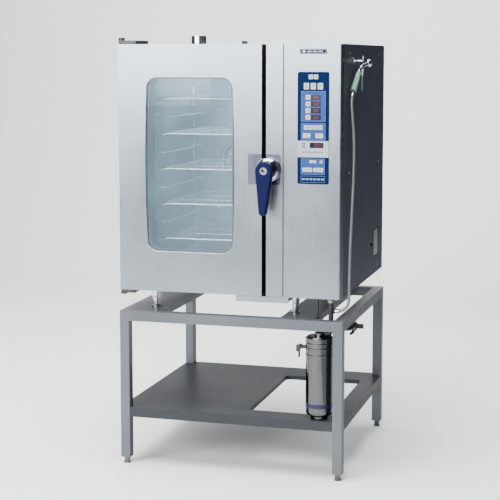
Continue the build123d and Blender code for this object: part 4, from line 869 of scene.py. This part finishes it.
class OVEN_OT_stand(bpy.types.Operator):
    """Finishes of the stand and the feet"""
    bl_idname = "oven.stand"
    bl_label = "Stand"

    def execute(self, context):
        steel = context.scene.oven_steel
        light, dark = Vector(steel.stand_light), Vector(steel.stand_dark)
        # The stand's colours are scaled down as painted shade: 0.45 for the legs and 0.42 for the
        # rails, whose sides are turned from the lights, and 0.15 for the undershelf in the oven's
        # shadow.
        finish_node(brushed_metal("leg_steel_painted_shade", dark * 0.45, light * 0.45, fine(UP), 0.34,
                                  0.48, 0.08, metallic=0.4, ior=1.08), "stand_legs")
        finish_node(brushed_metal("rail_steel_painted_shade", dark * 0.42, light * 0.42, fine(ACROSS), 0.34,
                                  0.48, 0.08, metallic=0.35, ior=1.08), "stand_top_frame")
        finish_node(brushed_metal("shelf_steel_painted_shade", dark * 0.15, light * 0.15, fine(BACK), 0.40,
                                  0.52, 0.08, metallic=0.3, ior=1.08), "stand_undershelf")
        bright = polished_metal("foot_steel", (0.45, 0.46, 0.48), (0.80, 0.81, 0.83), 0.16)
        finish_node(bright, "oven_feet")
        finish_node(polished_metal("leveller_steel", (0.06, 0.06, 0.07), (0.12, 0.12, 0.13), 0.3),
                    "levelling_feet")
        self.foot_collars(bright)
        self.welds()
        return {"FINISHED"}

    def foot_collars(self, bright):
        """Knurled lock collars on the oven's feet."""
        low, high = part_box("oven_feet")
        pad = 0.032
        bm = bmesh.new()
        for x in (low.x + pad, high.x - pad):
            for y in (low.y + pad, high.y - pad):
                add_lathe(bm, closed_profile([
                    (0.0124, 0.0), (0.0150, 0.0), (0.0160, 0.0012), (0.0160, 0.0068),
                    (0.0150, 0.0080), (0.0124, 0.0080)]), (x, y, low.z + 0.024), (0, 0, 1), 32)
        finish_mesh("foot_collars", bm, bright, "oven")

    def welds(self):
        """Ground weld seams where the front rail meets the legs."""
        low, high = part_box("stand_legs")
        tube = 0.040
        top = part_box("stand_top_frame")[1].z
        bm = bmesh.new()
        for x in (low.x + tube, high.x - tube):
            for y in (low.y, high.y):
                add_box(bm, (x - 0.0006, y - HAIR, top - tube), (x + 0.0006, y + HAIR, top))
        finish_mesh("weld_seams", bm, moulded("weld_tint", (0.16, 0.16, 0.18),
                                              (0.26, 0.26, 0.29), 0.5), "oven")


class OVEN_OT_chamber(bpy.types.Operator):
    """Finishes of the cooking chamber and what is inside it"""
    bl_idname = "oven.chamber"
    bl_label = "Chamber"

    def execute(self, context):
        finish_node(brushed_metal("chamber_steel", (0.20, 0.25, 0.31), (0.30, 0.36, 0.42),
                                  fine(UP), 0.26, 0.44, 0.08), "cavity_liner")
        finish_node(brushed_metal("baffle_steel", (0.17, 0.21, 0.26), (0.25, 0.30, 0.35),
                                  fine(UP), 0.28, 0.44, 0.08), "fan_baffle")
        wire = polished_metal("shelf_wire", (0.46, 0.50, 0.53), (0.68, 0.72, 0.75), 0.16)
        finish_node(wire, "rack_rails", "rack_uprights", *SHELVES)
        finish_node(polished_metal("wheel_steel", (0.30, 0.30, 0.31), (0.55, 0.56, 0.58), 0.22),
                    "fan_wheel")
        finish_node(polished_metal("heater_oxide", (0.10, 0.07, 0.05), (0.22, 0.20, 0.19), 0.35),
                    "heating_element")
        finish_node(moulded("wool_batt", (0.46, 0.40, 0.24), (0.72, 0.66, 0.46), 0.9,
                            size=160, depth=0.8), "cavity_insulation")
        finish_node(moulded("motor_paint", (0.22, 0.23, 0.25), (0.30, 0.31, 0.33), 0.5,
                            size=300, depth=0.4), "fan_motor")
        finish_node(brushed_metal("tank_steel", (0.45, 0.46, 0.48), (0.62, 0.63, 0.66), LEVEL),
                    "steam_generator")
        self.baffle_screws()
        return {"FINISHED"}

    def baffle_screws(self):
        """Domed nuts that hold the fan baffle."""
        low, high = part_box("fan_baffle")
        inset = 0.030
        bm = bmesh.new()
        add_lathe(bm, [(0.0065, 0), (0.0065, 0.0030), (0.0055, 0.0034), (0.0052, 0.0050),
                       (0.0030, 0.0074), (0, 0.0082)], (0, 0, 0), (0, 0, 1), 12)
        source = loose_object("domed_nut", bm)
        spots = [(x, low.y + 0.0040, z) for x in (low.x + inset, high.x - inset)
                 for z in (low.z + inset, high.z - inset)]
        repeated("baffle_nuts", source, spots, (pi / 2, 0, 0), polished_metal(
            "nut_steel", (0.5, 0.5, 0.5), (0.8, 0.8, 0.8), 0.12), "oven")


class OVEN_OT_door(bpy.types.Operator):
    """Door skin, panes, gasket, window bead and dark films of painted shade in the door's gap"""
    bl_idname = "oven.door"
    bl_label = "Door"

    def execute(self, context):
        front = FINISHES["front_steel"]
        finish_node(front, "door_skin")
        finish_node(brushed_metal("casing_steel", (0.13, 0.17, 0.21), (0.20, 0.24, 0.28),
                                  fine(UP), 0.30, 0.46, 0.08), "door_inner_frame")
        finish_node(pane_glass("outer_pane", (0.26, 0.38, 0.47), 0.10), "outer_glass")
        finish_node(pane_glass("inner_pane", (0.26, 0.38, 0.47), 0.06), "inner_glass")
        rubber = moulded("soft_rubber", (0.006, 0.006, 0.007), (0.018, 0.018, 0.020), 0.55,
                         size=420, depth=0.3)
        finish_node(rubber, "door_gasket")
        self.line_gap_with_shade(rubber)
        self.window_bead()
        return {"FINISHED"}

    def line_gap_with_shade(self, rubber):
        """Dark films of painted shade that line the gap beside the door, and the dark seam beside
        the fascia.
        """
        low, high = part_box("door_skin")
        film = 0.0009
        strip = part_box("latch_strip")
        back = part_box("front_frame")[0].y
        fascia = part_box("control_fascia")[0]
        # The first three films stand for the gap's shadow: painted shade on the door's edge, the
        # strip's edge and the frame behind the gap.
        dark_films = (
            ("door_edge_seal", "door", (high.x - film / 2, low.y + 0.0022, low.z + 0.003),
             (high.x + film, high.y - 0.001, high.z - 0.003)),
            ("strip_edge_seal", "oven", (strip[0].x - film, strip[0].y + 0.0016, low.z + 0.004),
             (strip[0].x + film / 2, strip[1].y - 0.003, high.z - 0.004)),
            ("gap_back_seal", "oven", (high.x - 0.010, back - film, low.z + 0.004),
             (strip[0].x, back + film / 2, high.z - 0.004)),
            ("fascia_seam", "oven", (strip[1].x - film * 2, fascia.y - HAIR, low.z + 0.002),
             (fascia.x + film * 2, fascia.y + 0.004, high.z - 0.002)),
        )
        for name, body, near, far in dark_films:
            bm = bmesh.new()
            add_box(bm, near, far)
            finish_mesh(name, bm, rubber, body)

    def window_bead(self):
        """Rolled edge round the window opening."""
        low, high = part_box("outer_glass")
        lap = 0.016
        bow, corner = 0.009, 0.040
        x0, x1 = low.x + lap, high.x - lap
        z0, z1 = low.z + lap, high.z - lap
        points = []
        for x, z in rounded_outline(x0, x1, z0, z1, corner, 8):
            height = (z - (z0 + z1) / 2) / ((z1 - z0) / 2)
            inward = bow * height * height
            points.append((x + inward if x < (x0 + x1) / 2 else x - inward, z))
        ring = [(x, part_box("door_skin")[0].y + 0.0008, z) for x, z in densify(points, 0.03)]
        bm = bmesh.new()
        add_tube(bm, ring, 0.0011, 10, closed=True)
        finish_mesh("window_bead", bm, polished_metal(
            "bead_steel", (0.22, 0.25, 0.29), (0.42, 0.46, 0.50), 0.16), "door")


class OVEN_OT_latch(bpy.types.Operator):
    """Latch plates, escutcheon and lever"""
    bl_idname = "oven.latch"
    bl_label = "Latch and lever"

    def execute(self, context):
        colour = Vector(context.scene.oven_controls.lever)
        plate = brushed_metal("latch_steel", (0.17, 0.20, 0.27), (0.23, 0.26, 0.34), fine(UP),
                              0.14, 0.24, 0.04)
        finish_node(plate, "latch_base", "strike_plate")
        finish_node(polished_metal("dome_chrome", (0.50, 0.52, 0.56), (0.46, 0.48, 0.52), 0.10),
                    "escutcheon")
        navy = moulded("lever_navy", tuple(colour * 0.85), tuple(colour * 1.1), 0.40, size=700,
                       depth=0.08, ior=1.16)
        finish_node(navy, "lever")
        self.mark()
        self.dome_rings()
        return {"FINISHED"}

    def mark(self):
        """Plain ring with a turning arrow on the lever's head."""
        low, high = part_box("lever")
        head = Vector((high.x - 0.034, low.y, high.z - 0.034))
        bm = bmesh.new()
        add_ring_plate(bm, circle(head.x, head.z, 0.0130, 32), circle(head.x, head.z, 0.0112, 32),
                       head.y - HAIR, head.y + HAIR)
        arc = [radians(200 + 220 * k / 16) for k in range(17)]
        band = ([(head.x + 0.0078 * cos(a), head.z + 0.0078 * sin(a)) for a in arc]
                + [(head.x + 0.0058 * cos(a), head.z + 0.0058 * sin(a)) for a in arc[::-1]])
        add_plate(bm, band, head.y - HAIR, head.y + HAIR)
        tip = arc[-1]
        out = Vector((cos(tip), sin(tip)))
        ahead = Vector((-sin(tip), cos(tip)))
        centre = Vector((head.x, head.z)) + out * 0.0068
        add_plate(bm, [tuple(centre + out * 0.0034), tuple(centre + ahead * 0.0052),
                       tuple(centre - out * 0.0034)], head.y - HAIR, head.y + HAIR)
        finish_mesh("lever_mark", bm, common_finish("white_print"), "handle")

    def dome_rings(self):
        """Turned steps on the escutcheon's front."""
        low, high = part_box("escutcheon")
        centre = (low + high) / 2
        bm = bmesh.new()
        for radius in (0.0355, 0.0300):
            add_lathe(bm, closed_profile([(radius - 0.0012, 0), (radius, 0),
                                          (radius - 0.0003, 0.0008), (radius - 0.0009, 0.0008)]),
                      (centre.x, low.y + 0.0003, centre.z), (0, -1, 0), 64)
        finish_mesh("dome_rings", bm, polished_metal("ring_chrome", (0.55, 0.57, 0.60),
                                                     (0.92, 0.93, 0.95), 0.06), "door")


SELECTOR_ROWS = [0.7695 - 0.0251 * row for row in range(4)]
PADS = {
    # white printed pads: x, z of the middle, width and height, from the datum
    "mode": [(0.7600, 0.8113, 0.0200, 0.0240), (0.7867, 0.8113, 0.0200, 0.0240),
             (0.8138, 0.8113, 0.0200, 0.0240)],
    "select": [(0.7663, z, 0.0185, 0.0180) for z in SELECTOR_ROWS],
    "programme": [(0.7613, 0.6250, 0.0290, 0.0180), (0.8102, 0.6250, 0.0290, 0.0180)],
    "lamp": [(0.7859, 0.5263, 0.0270, 0.0100), (0.8179, 0.5263, 0.0110, 0.0100)],
}
FIELDS = [
    # light blue fields: x0, x1, z0, z1
    (0.7397, 0.8340, 0.6782, 0.7930),
    (0.7397, 0.8340, 0.6080, 0.6721),
    (0.7397, 0.8320, 0.4777, 0.5379),
]
FIELD_RIM = 0.0007            # width of a field's pale rim
FOOT_FRAME = (0.7400, 0.8330, 0.4470, 0.4720)
FOOT_RIM = 0.0008
BAND = (0.5428, 0.6052)       # z0, z1 of the silver band
TIMER = (0.8006, 0.5882, 0.0535, 0.0206)     # x, z of the middle, width and height
SEGMENTS = [
    # bars of one figure: x and z from its middle, width and height
    (0, 0.0056, 0.0036, 0.0009), (0, 0, 0.0036, 0.0009), (0, -0.0056, 0.0036, 0.0009),
    (-0.0024, 0.0028, 0.0009, 0.0042), (0.0024, 0.0028, 0.0009, 0.0042),
    (-0.0024, -0.0028, 0.0009, 0.0042), (0.0024, -0.0028, 0.0009, 0.0042),
]
FIGURE_PITCH = 0.0088         # from one figure to the next


class OVEN_OT_controls(bpy.types.Operator):
    """Printed overlay, fields, pads, displays and key marks"""
    bl_idname = "oven.controls"
    bl_label = "Control panel"

    def execute(self, context):
        settings = context.scene.oven_controls
        self.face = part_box("control_overlay")[0].y
        navy = navy_ground(context)
        finish_node(navy, "control_overlay")
        finish_node(moulded("display_smoke", (0.010, 0.010, 0.022), (0.016, 0.016, 0.030), 0.10,
                            depth=0.02, coat=1.0), "display_windows")
        self.white = moulded("white_caps", (0.34, 0.36, 0.40), (0.40, 0.42, 0.46), 0.45)
        finish_node(self.white, *KEYS)
        self.ink = common_finish("dark_ink")
        self.fields(settings)
        self.band(settings)
        self.pads()
        self.key_marks()
        self.digits()
        return {"FINISHED"}

    def film(self, bm, x0, x1, z0, z1, radius, lift=1.0, holes=()):
        """Printed film on the overlay, given from the datum."""
        if holes:
            for strip in strips_round(x0, x1, z0, z1, holes):
                add_box(bm, (DATUM.x + strip[0], self.face - HAIR * lift, DATUM.z + strip[2]),
                        (DATUM.x + strip[1], self.face + HAIR, DATUM.z + strip[3]))
            return
        add_plate(bm, datum_outline(x0, x1, z0, z1, radius), self.face - HAIR * lift,
                  self.face + HAIR)

    def key_bounds(self, names, grow):
        """Bounds of keys in the face, from the datum."""
        found = []
        for name in names:
            low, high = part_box(name)
            found.append((low.x - DATUM.x - grow, high.x - DATUM.x + grow,
                          low.z - DATUM.z - grow, high.z - DATUM.z + grow))
        return found

    def fields(self, settings):
        """Light blue fields, open where keys and displays stand."""
        blue = moulded("field_print", tuple(Vector(settings.field) * 0.92),
                       tuple(Vector(settings.field) * 1.08), 0.5, ior=1.3)
        windows = [(0.7780, 0.8160, z - 0.0100, z + 0.0100) for z in SELECTOR_ROWS]
        arrows = self.key_bounds(KEYS[2:6], 0.0004)
        pills = self.key_bounds(KEYS[6:], 0.0004)
        bm = bmesh.new()
        for bounds, holes in zip(FIELDS, (windows, arrows, pills)):
            self.film(bm, *bounds, 0.002, holes=holes)
        finish_mesh("blue_fields", bm, blue, "oven")
        bm = bmesh.new()
        # rims of the fields, and the blank ruled frame at the foot of the panel
        for bounds, rim, lift in (*((field, FIELD_RIM, 1.6) for field in FIELDS),
                                  (FOOT_FRAME, FOOT_RIM, 1.0)):
            x0, x1, z0, z1 = bounds
            add_ring_plate(bm, datum_outline(x0, x1, z0, z1, 0.002),
                           datum_outline(x0 + rim, x1 - rim, z0 + rim, z1 - rim, 0.0016),
                           self.face - lift * HAIR, self.face + HAIR)
        for place in range(6):
            left = 0.7440 + 0.0148 * place
            self.film(bm, left, left + 0.0110, 0.4560, 0.4632, 0.001)
        finish_mesh("field_rims", bm, moulded("pale_blue_print", (0.10, 0.17, 0.34),
                                              (0.13, 0.20, 0.38), 0.45), "oven")

    def band(self, settings):
        """Silver band with its row of small marks."""
        silver = moulded("band_print", tuple(Vector(settings.band) * 0.95),
                         tuple(settings.band), 0.45)
        x, z, width, height = TIMER
        timer = (x - width / 2, x + width / 2, z - height / 2, z + height / 2)
        low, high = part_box("control_overlay")
        bm = bmesh.new()
        self.film(bm, low.x - DATUM.x + 0.0002, high.x - DATUM.x - 0.0002, *BAND, 0, holes=[timer])
        finish_mesh("silver_band", bm, silver, "oven")
        bm = bmesh.new()
        pitch = 0.085 / settings.dots
        for place in range(settings.dots):
            left = 0.7440 + pitch * place
            self.film(bm, left, left + pitch * 0.55, 0.5600, 0.5652, 0.001, lift=2.0)
        for row in range(2):
            self.film(bm, 0.7440, 0.7560, 0.5800 + 0.011 * row, 0.5850 + 0.011 * row, 0.001,
                      lift=2.0)
        finish_mesh("band_marks", bm, self.ink, "oven")

    def pads(self):
        """White printed pads with plain pictograms."""
        white = bmesh.new()
        ink = bmesh.new()
        for group, spots in PADS.items():
            for number, (x, z, width, height) in enumerate(spots):
                self.film(white, x - width / 2, x + width / 2, z - height / 2, z + height / 2,
                          0.002, lift=2.0)
                self.pictogram(ink, group, number, x, z, min(width, height))
        finish_mesh("printed_pads", white, self.white, "oven")
        finish_mesh("pad_pictograms", ink, moulded("red_grey_ink", (0.20, 0.05, 0.08),
                                                   (0.26, 0.08, 0.10), 0.5), "oven")

    def pictogram(self, bm, group, number, x, z, size):
        """Waves for modes, a dot and bar for selectors, bars for the rest."""
        if group == "mode":
            for row in range(3):
                shift = (row - 1) * size * 0.24
                span = size * (0.50 - 0.10 * ((row + number) % 3))
                self.film(bm, x - span / 2, x + span / 2, z + shift - 0.0009, z + shift + 0.0009,
                          0.0008, lift=3.0)
        elif group == "select":
            self.film(bm, x - 0.0030, x + 0.0030, z - 0.0030 + 0.0006 * number,
                      z + 0.0030 + 0.0006 * number, 0.0029, lift=3.0)
            self.film(bm, x - 0.0050, x + 0.0050, z - 0.0062, z - 0.0048, 0.0006, lift=3.0)
        else:
            for row in range(2):
                lift = (row - 0.5) * size * 0.36
                self.film(bm, x - size * 0.42, x + size * (0.42 - 0.2 * row),
                          z + lift - 0.0008, z + lift + 0.0008, 0.0007, lift=3.0)

    def key_marks(self):
        """Dark marks that move with their keys."""
        for name in KEYS:
            low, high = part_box(name)
            x, z = (low.x + high.x) / 2, (low.z + high.z) / 2
            bm = bmesh.new()
            if name.startswith("arrow"):
                up = 1 if int(name[-1]) % 2 else -1
                outline = [(x - 0.0040, z - 0.0030 * up), (x + 0.0040, z - 0.0030 * up),
                           (x, z + 0.0042 * up)]
                add_plate(bm, outline[::up], low.y - HAIR, low.y + HAIR)
            elif name.startswith("power"):
                add_ring_plate(bm, circle(x, z, 0.0046, 24), circle(x, z, 0.0036, 24),
                               low.y - HAIR, low.y + HAIR)
                if name.endswith("left"):
                    add_box(bm, (x - 0.0006, low.y - HAIR, z), (x + 0.0006, low.y + HAIR,
                                                                z + 0.0062))
            else:
                for place in (-1, 0, 1):
                    spot = x + 0.0085 * place
                    add_plate(bm, rounded_outline(spot - 0.0024, spot + 0.0024, z - 0.0020,
                                                  z + 0.0020, 0.0019), low.y - HAIR, low.y + HAIR)
            finish_mesh(name + "_mark", bm, self.ink, name)

    def digits(self):
        """Seven-segment figures behind the display windows, only just lit."""
        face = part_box("display_windows")[0].y
        dim = moulded("dim_segment", (0.10, 0.02, 0.02), (0.16, 0.03, 0.03), 0.3)
        bm = bmesh.new()
        rows = [(0.7970, z, 3) for z in SELECTOR_ROWS] + [(0.8060, TIMER[1], 4)]
        for x, z, count in rows:
            for place in range(count):
                left = x + (place - (count - 1) / 2) * FIGURE_PITCH
                for dx, dz, wide, tall in SEGMENTS:
                    spot = from_datum(left + dx, 0, z + dz)
                    add_box(bm, (spot.x - wide / 2, face - HAIR, spot.z - tall / 2),
                            (spot.x + wide / 2, face + HAIR, spot.z + tall / 2))
        finish_mesh("display_segments", bm, dim, "oven")


class OVEN_OT_spray_set(bpy.types.Operator):
    """Spray gun with grip, head, trigger, wall hook and hose"""
    bl_idname = "oven.spray_set"
    bl_label = "Spray gun and hose"

    def execute(self, context):
        chrome = polished_metal("gun_chrome", (0.50, 0.52, 0.54), (0.88, 0.89, 0.90), 0.10)
        finish_node(chrome, "gun_trigger", "gun_bracket")
        self.gun(chrome)
        self.hose(context.scene.oven_hose, chrome)
        return {"FINISHED"}

    def gun(self, chrome):
        """Body, grip and head, in place of the plain CAD gun."""
        head = from_datum(0.936, 0.318, 0.897)
        elbow = from_datum(0.922, 0.222, 0.884)
        grip_end = from_datum(0.9145, 0.118, 0.790)
        ferrule = from_datum(*HOSE_ROUTE[0])
        bend = [head + (elbow - head) * (k / 6) for k in range(5)]
        start, end = bend[-1], elbow + (grip_end - elbow) * 0.25
        for k in range(1, 9):
            share = k / 8
            bend.append((1 - share) ** 2 * start + 2 * share * (1 - share) * elbow
                        + share ** 2 * end)
        bm = bmesh.new()
        add_tube(bm, bend, 0.0068, 20)
        pivot = from_datum(0.922, 0.240, 0.871)
        add_box(bm, pivot + Vector((-0.003, -0.006, -0.006)), pivot + Vector((0.003, 0.006, 0.014)))
        add_lathe(bm, [(0, -0.004), (0.003, -0.004), (0.003, 0.0095), (0.0042, 0.0095),
                       (0.0042, 0.0104), (0, 0.0104)], pivot, (1, 0, 0), 20)
        body = finish_mesh("gun_body", bm, chrome, "oven")
        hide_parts("spray_gun")
        bm = bmesh.new()
        ahead = head - elbow
        add_lathe(bm, [(0, 0.001), (0.0105, 0.001), (0.0120, 0.0), (0.0150, 0.0),
                       (0.0150, -0.004), (0.0138, -0.0070), (0.0105, -0.0120),
                       (0.0085, -0.0220), (0, -0.0220)], head, ahead, 40)
        rose = finish_mesh("spray_head", bm, chrome, "oven")
        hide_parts("spray_gun")
        down = (grip_end - elbow).normalized()
        top = elbow + down * 0.034
        length = (grip_end - top).length
        ribs = [(0.0, 0.0), (0.0085, 0.0)]
        count = 7
        for k in range(count):
            share = k / (count - 1)
            radius = 0.0092 + 0.0018 * share
            spot = 0.006 + (length - 0.014) * share
            ribs += [(radius, spot - 0.003), (radius + 0.0008, spot), (radius, spot + 0.003)]
        ribs += [(0.0112, length - 0.001), (0.0090, length), (0.0, length)]
        bm = bmesh.new()
        add_lathe(bm, ribs, top, down, 32)
        grip = finish_mesh("gun_grip", bm, moulded(
            "pale_green_rubber", (0.16, 0.34, 0.24), (0.24, 0.44, 0.33), 0.48, size=700), "oven")
        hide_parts("spray_gun")
        bm = bmesh.new()
        away = (ferrule - grip_end).normalized()
        add_lathe(bm, [(0, -0.001), (0.0098, -0.001), (0.0098, 0.004), (0.0086, 0.0046),
                       (0.0086, 0.0090), (0.0074, 0.0098), (0.0074, 0.0119), (0, 0.0119)],
                  grip_end, away, 6)
        nut = finish_mesh("gun_nut", bm, common_finish("dark_casting"), "oven")
        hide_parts("spray_gun")

    def hose(self, settings, chrome):
        """Braided hose on one smooth line, with a crimped sleeve at each end."""
        data = bpy.data.curves.new("hose_line", "CURVE")
        data.dimensions = "3D"
        data.resolution_u = 24
        spline = data.splines.new("NURBS")
        spline.points.add(len(HOSE_ROUTE) - 1)
        for point, spot in zip(spline.points, HOSE_ROUTE):
            point.co = (*from_datum(*spot), 1.0)
        spline.order_u = 3
        spline.use_endpoint_u = True
        line = bpy.data.objects.new("hose_line", data)
        bpy.context.scene.collection.objects.link(line)
        bpy.context.view_layer.update()
        graph = bpy.context.evaluated_depsgraph_get()
        mesh = bpy.data.meshes.new_from_object(line.evaluated_get(graph))
        path = [vertex.co.copy() for vertex in mesh.vertices]
        bpy.data.meshes.remove(mesh)
        bpy.data.objects.remove(line)
        bm = bmesh.new()
        rings = add_tube(bm, path, HOSE_DIAMETER / 2, settings.sides)
        layer = bm.loops.layers.uv.new("sleeve")
        travelled = [0.0]
        for before, after in zip(path, path[1:]):
            travelled.append(travelled[-1] + (after - before).length)
        place = {}
        for number, ring in enumerate(rings):
            for k, vert in enumerate(ring):
                place[vert] = (k, travelled[number] / settings.lay)
        for face in bm.faces:
            for loop in face.loops:
                k, along = place[loop.vert]
                others = [place[other.vert][0] for other in face.loops]
                if k == 0 and max(others) == settings.sides - 1:
                    k = settings.sides
                loop[layer].uv = (k / settings.sides, along)
        bmesh.ops.recalc_face_normals(bm, faces=bm.faces)
        tube = bpy.data.meshes.new("spray_hose_braid")
        bm.to_mesh(tube)
        bm.free()
        hose = place_mesh("spray_hose_braid", tube, braided("steel_braid"), "oven")
        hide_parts("spray_hose")
        sleeves = bmesh.new()
        for spot, ahead in ((path[0], path[6] - path[0]), (path[-1], path[-7] - path[-1])):
            add_lathe(sleeves, closed_profile([
                (0.0061, 0.0), (0.0078, 0.0), (0.0078, 0.006), (0.0070, 0.0068),
                (0.0078, 0.0076), (0.0078, 0.0140), (0.0066, 0.0180), (0.0061, 0.0180)]),
                spot, ahead, 32)
        crimps = finish_mesh("hose_sleeves", sleeves, chrome, "oven")


class OVEN_OT_filter(bpy.types.Operator):
    """Water filter canister and its fittings"""
    bl_idname = "oven.filter"
    bl_label = "Water filter"

    def execute(self, context):
        chrome = polished_metal("canister_chrome", (0.082, 0.082, 0.086), (0.10, 0.10, 0.10), 0.07,
                                0.02)
        finish_node(chrome, "filter_canister", "filter_head")
        low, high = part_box("filter_canister")
        centre = ((low.x + high.x) / 2, (low.y + high.y) / 2)
        radius = (high.x - low.x) / 2
        bm = bmesh.new()
        for z in (high.z - 0.004, high.z - 0.022, high.z - 0.048):
            add_lathe(bm, closed_profile([
                (radius - 0.0004, -0.0035), (radius + 0.0012, -0.0028), (radius + 0.0018, 0.0),
                (radius + 0.0012, 0.0028), (radius - 0.0004, 0.0035)]), (*centre, z), (0, 0, 1),
                96)
        finish_mesh("canister_beads", bm, chrome, "oven")
        bm = bmesh.new()
        add_lathe(bm, closed_profile([
            (radius - 0.0002, 0.0), (radius + 0.0004, 0.0), (radius + 0.0004, 0.017),
            (radius - 0.0002, 0.017)]), (*centre, low.z + 0.048), (0, 0, 1), 96)
        navy = tuple(context.scene.oven_controls.lever)
        finish_mesh("canister_band", bm, moulded("band_navy", navy, navy, 0.3), "oven")
        self.knob(centre)
        return {"FINISHED"}

    def knob(self, centre):
        """Fluted cap on the filter's head."""
        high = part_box("filter_head")[1]
        bm = bmesh.new()
        flutes, steps, outline = 12, 96, []
        for k in range(steps):
            angle = 2 * pi * k / steps
            reach = 0.0188 + 0.0010 * cos(flutes * angle)
            outline.append((reach * cos(angle), reach * sin(angle)))
        lower = [bm.verts.new((centre[0] + x, centre[1] + y, high.z - 0.0128)) for x, y in outline]
        upper = [bm.verts.new((centre[0] + x * 0.9, centre[1] + y * 0.9, high.z + 0.0006))
                 for x, y in outline]
        bm.faces.new(lower[::-1])
        bm.faces.new(upper)
        join_rows(bm, lower, upper)
        finish_mesh("filter_cap", bm, common_finish("dark_casting"), "oven")


class OVEN_OT_pipework(bpy.types.Operator):
    """Pipes, unions, tap and stop valve"""
    bl_idname = "oven.pipework"
    bl_label = "Pipework"

    def execute(self, context):
        dark = common_finish("dark_casting")
        finish_node(dark, "pipework", "tap_lever")
        finish_node(moulded("handle_vinyl", (0.020, 0.020, 0.030), (0.045, 0.045, 0.055), 0.45),
                    "valve_handle")
        self.unions()
        self.conduit_ribs(dark)
        return {"FINISHED"}

    def unions(self):
        """Hexagon unions on the riser, the cross pipe and the hose's end."""
        brass = polished_metal("dull_brass", (0.16, 0.14, 0.11), (0.30, 0.28, 0.24), 0.28)
        bm = bmesh.new()
        for spot, axis, radius in ((from_datum(0.848, 0.052, -0.022), (0, 0, 1), 0.0135),
                                   (from_datum(0.848, 0.052, -0.112), (0, 0, 1), 0.0135),
                                   (from_datum(0.808, 0.225, -0.030), (0, 0, 1), 0.0115),
                                   (from_datum(0.846, 0.062, -0.055), (1, 0, 0), 0.0125),
                                   (from_datum(0.886, 0.262, -0.158), (0, 1, 0), 0.0130),
                                   (from_datum(0.8895, 0.300, -0.158), (1, 0, 0), 0.0145)):
            add_lathe(bm, [(0, 0), (radius * 0.9, 0), (radius, 0.0012), (radius, 0.0108),
                           (radius * 0.9, 0.0120), (0, 0.0120)], spot, axis, 6)
        finish_mesh("pipe_unions", bm, brass, "oven", smooth=20)

    def conduit_ribs(self, dark):
        """Ribs of the flexible riser."""
        bm = bmesh.new()
        add_lathe(bm, closed_profile([(0.0086, -0.0012), (0.0100, -0.0008), (0.0104, 0.0),
                                      (0.0100, 0.0008), (0.0086, 0.0012)]), (0, 0, 0),
                  (0, 0, 1), 24)
        source = loose_object("conduit_rib", bm)
        spots = [from_datum(0.848, 0.052, -0.038 - 0.0042 * k) for k in range(17)]
        repeated("riser_ribs", source, spots, (0, 0, 0), dark, "oven")


class OVEN_PT_sidebar(bpy.types.Panel):
    """Settings and pieces in the sidebar"""
    bl_label = "Oven"
    bl_idname = "OVEN_PT_sidebar"
    bl_space_type = "VIEW_3D"
    bl_region_type = "UI"
    bl_category = "Oven"

    def draw(self, context):
        for operator in OPERATORS:
            self.layout.operator(operator.bl_idname)
        for group in SETTINGS:
            settings = getattr(context.scene, group)
            for name in settings.bl_rna.properties.keys():
                if name not in ("rna_type", "name"):
                    self.layout.prop(settings, name)


SETTINGS = {"oven_steel": OvenSteel, "oven_controls": OvenControls, "oven_hose": OvenHose,
            "oven_stage": OvenStage}
OPERATORS = [OVEN_OT_stage, OVEN_OT_cabinet, OVEN_OT_stand, OVEN_OT_chamber, OVEN_OT_door,
             OVEN_OT_latch, OVEN_OT_controls, OVEN_OT_spray_set, OVEN_OT_filter,
             OVEN_OT_pipework]


def register():
    """Register the settings, the operators and the panel."""
    for cls in [*SETTINGS.values(), *OPERATORS, OVEN_PT_sidebar]:
        bpy.utils.register_class(cls)
    for name, cls in SETTINGS.items():
        setattr(bpy.types.Scene, name, PointerProperty(type=cls))


def unregister():
    """Undo register."""
    for name in SETTINGS:
        delattr(bpy.types.Scene, name)
    for cls in reversed([*SETTINGS.values(), *OPERATORS, OVEN_PT_sidebar]):
        bpy.utils.unregister_class(cls)


def main():
    """Make every piece."""
    register()
    for operator in OPERATORS:
        group, name = operator.bl_idname.split(".")
        getattr(getattr(bpy.ops, group), name)()


if __name__ == "__main__":
    main()
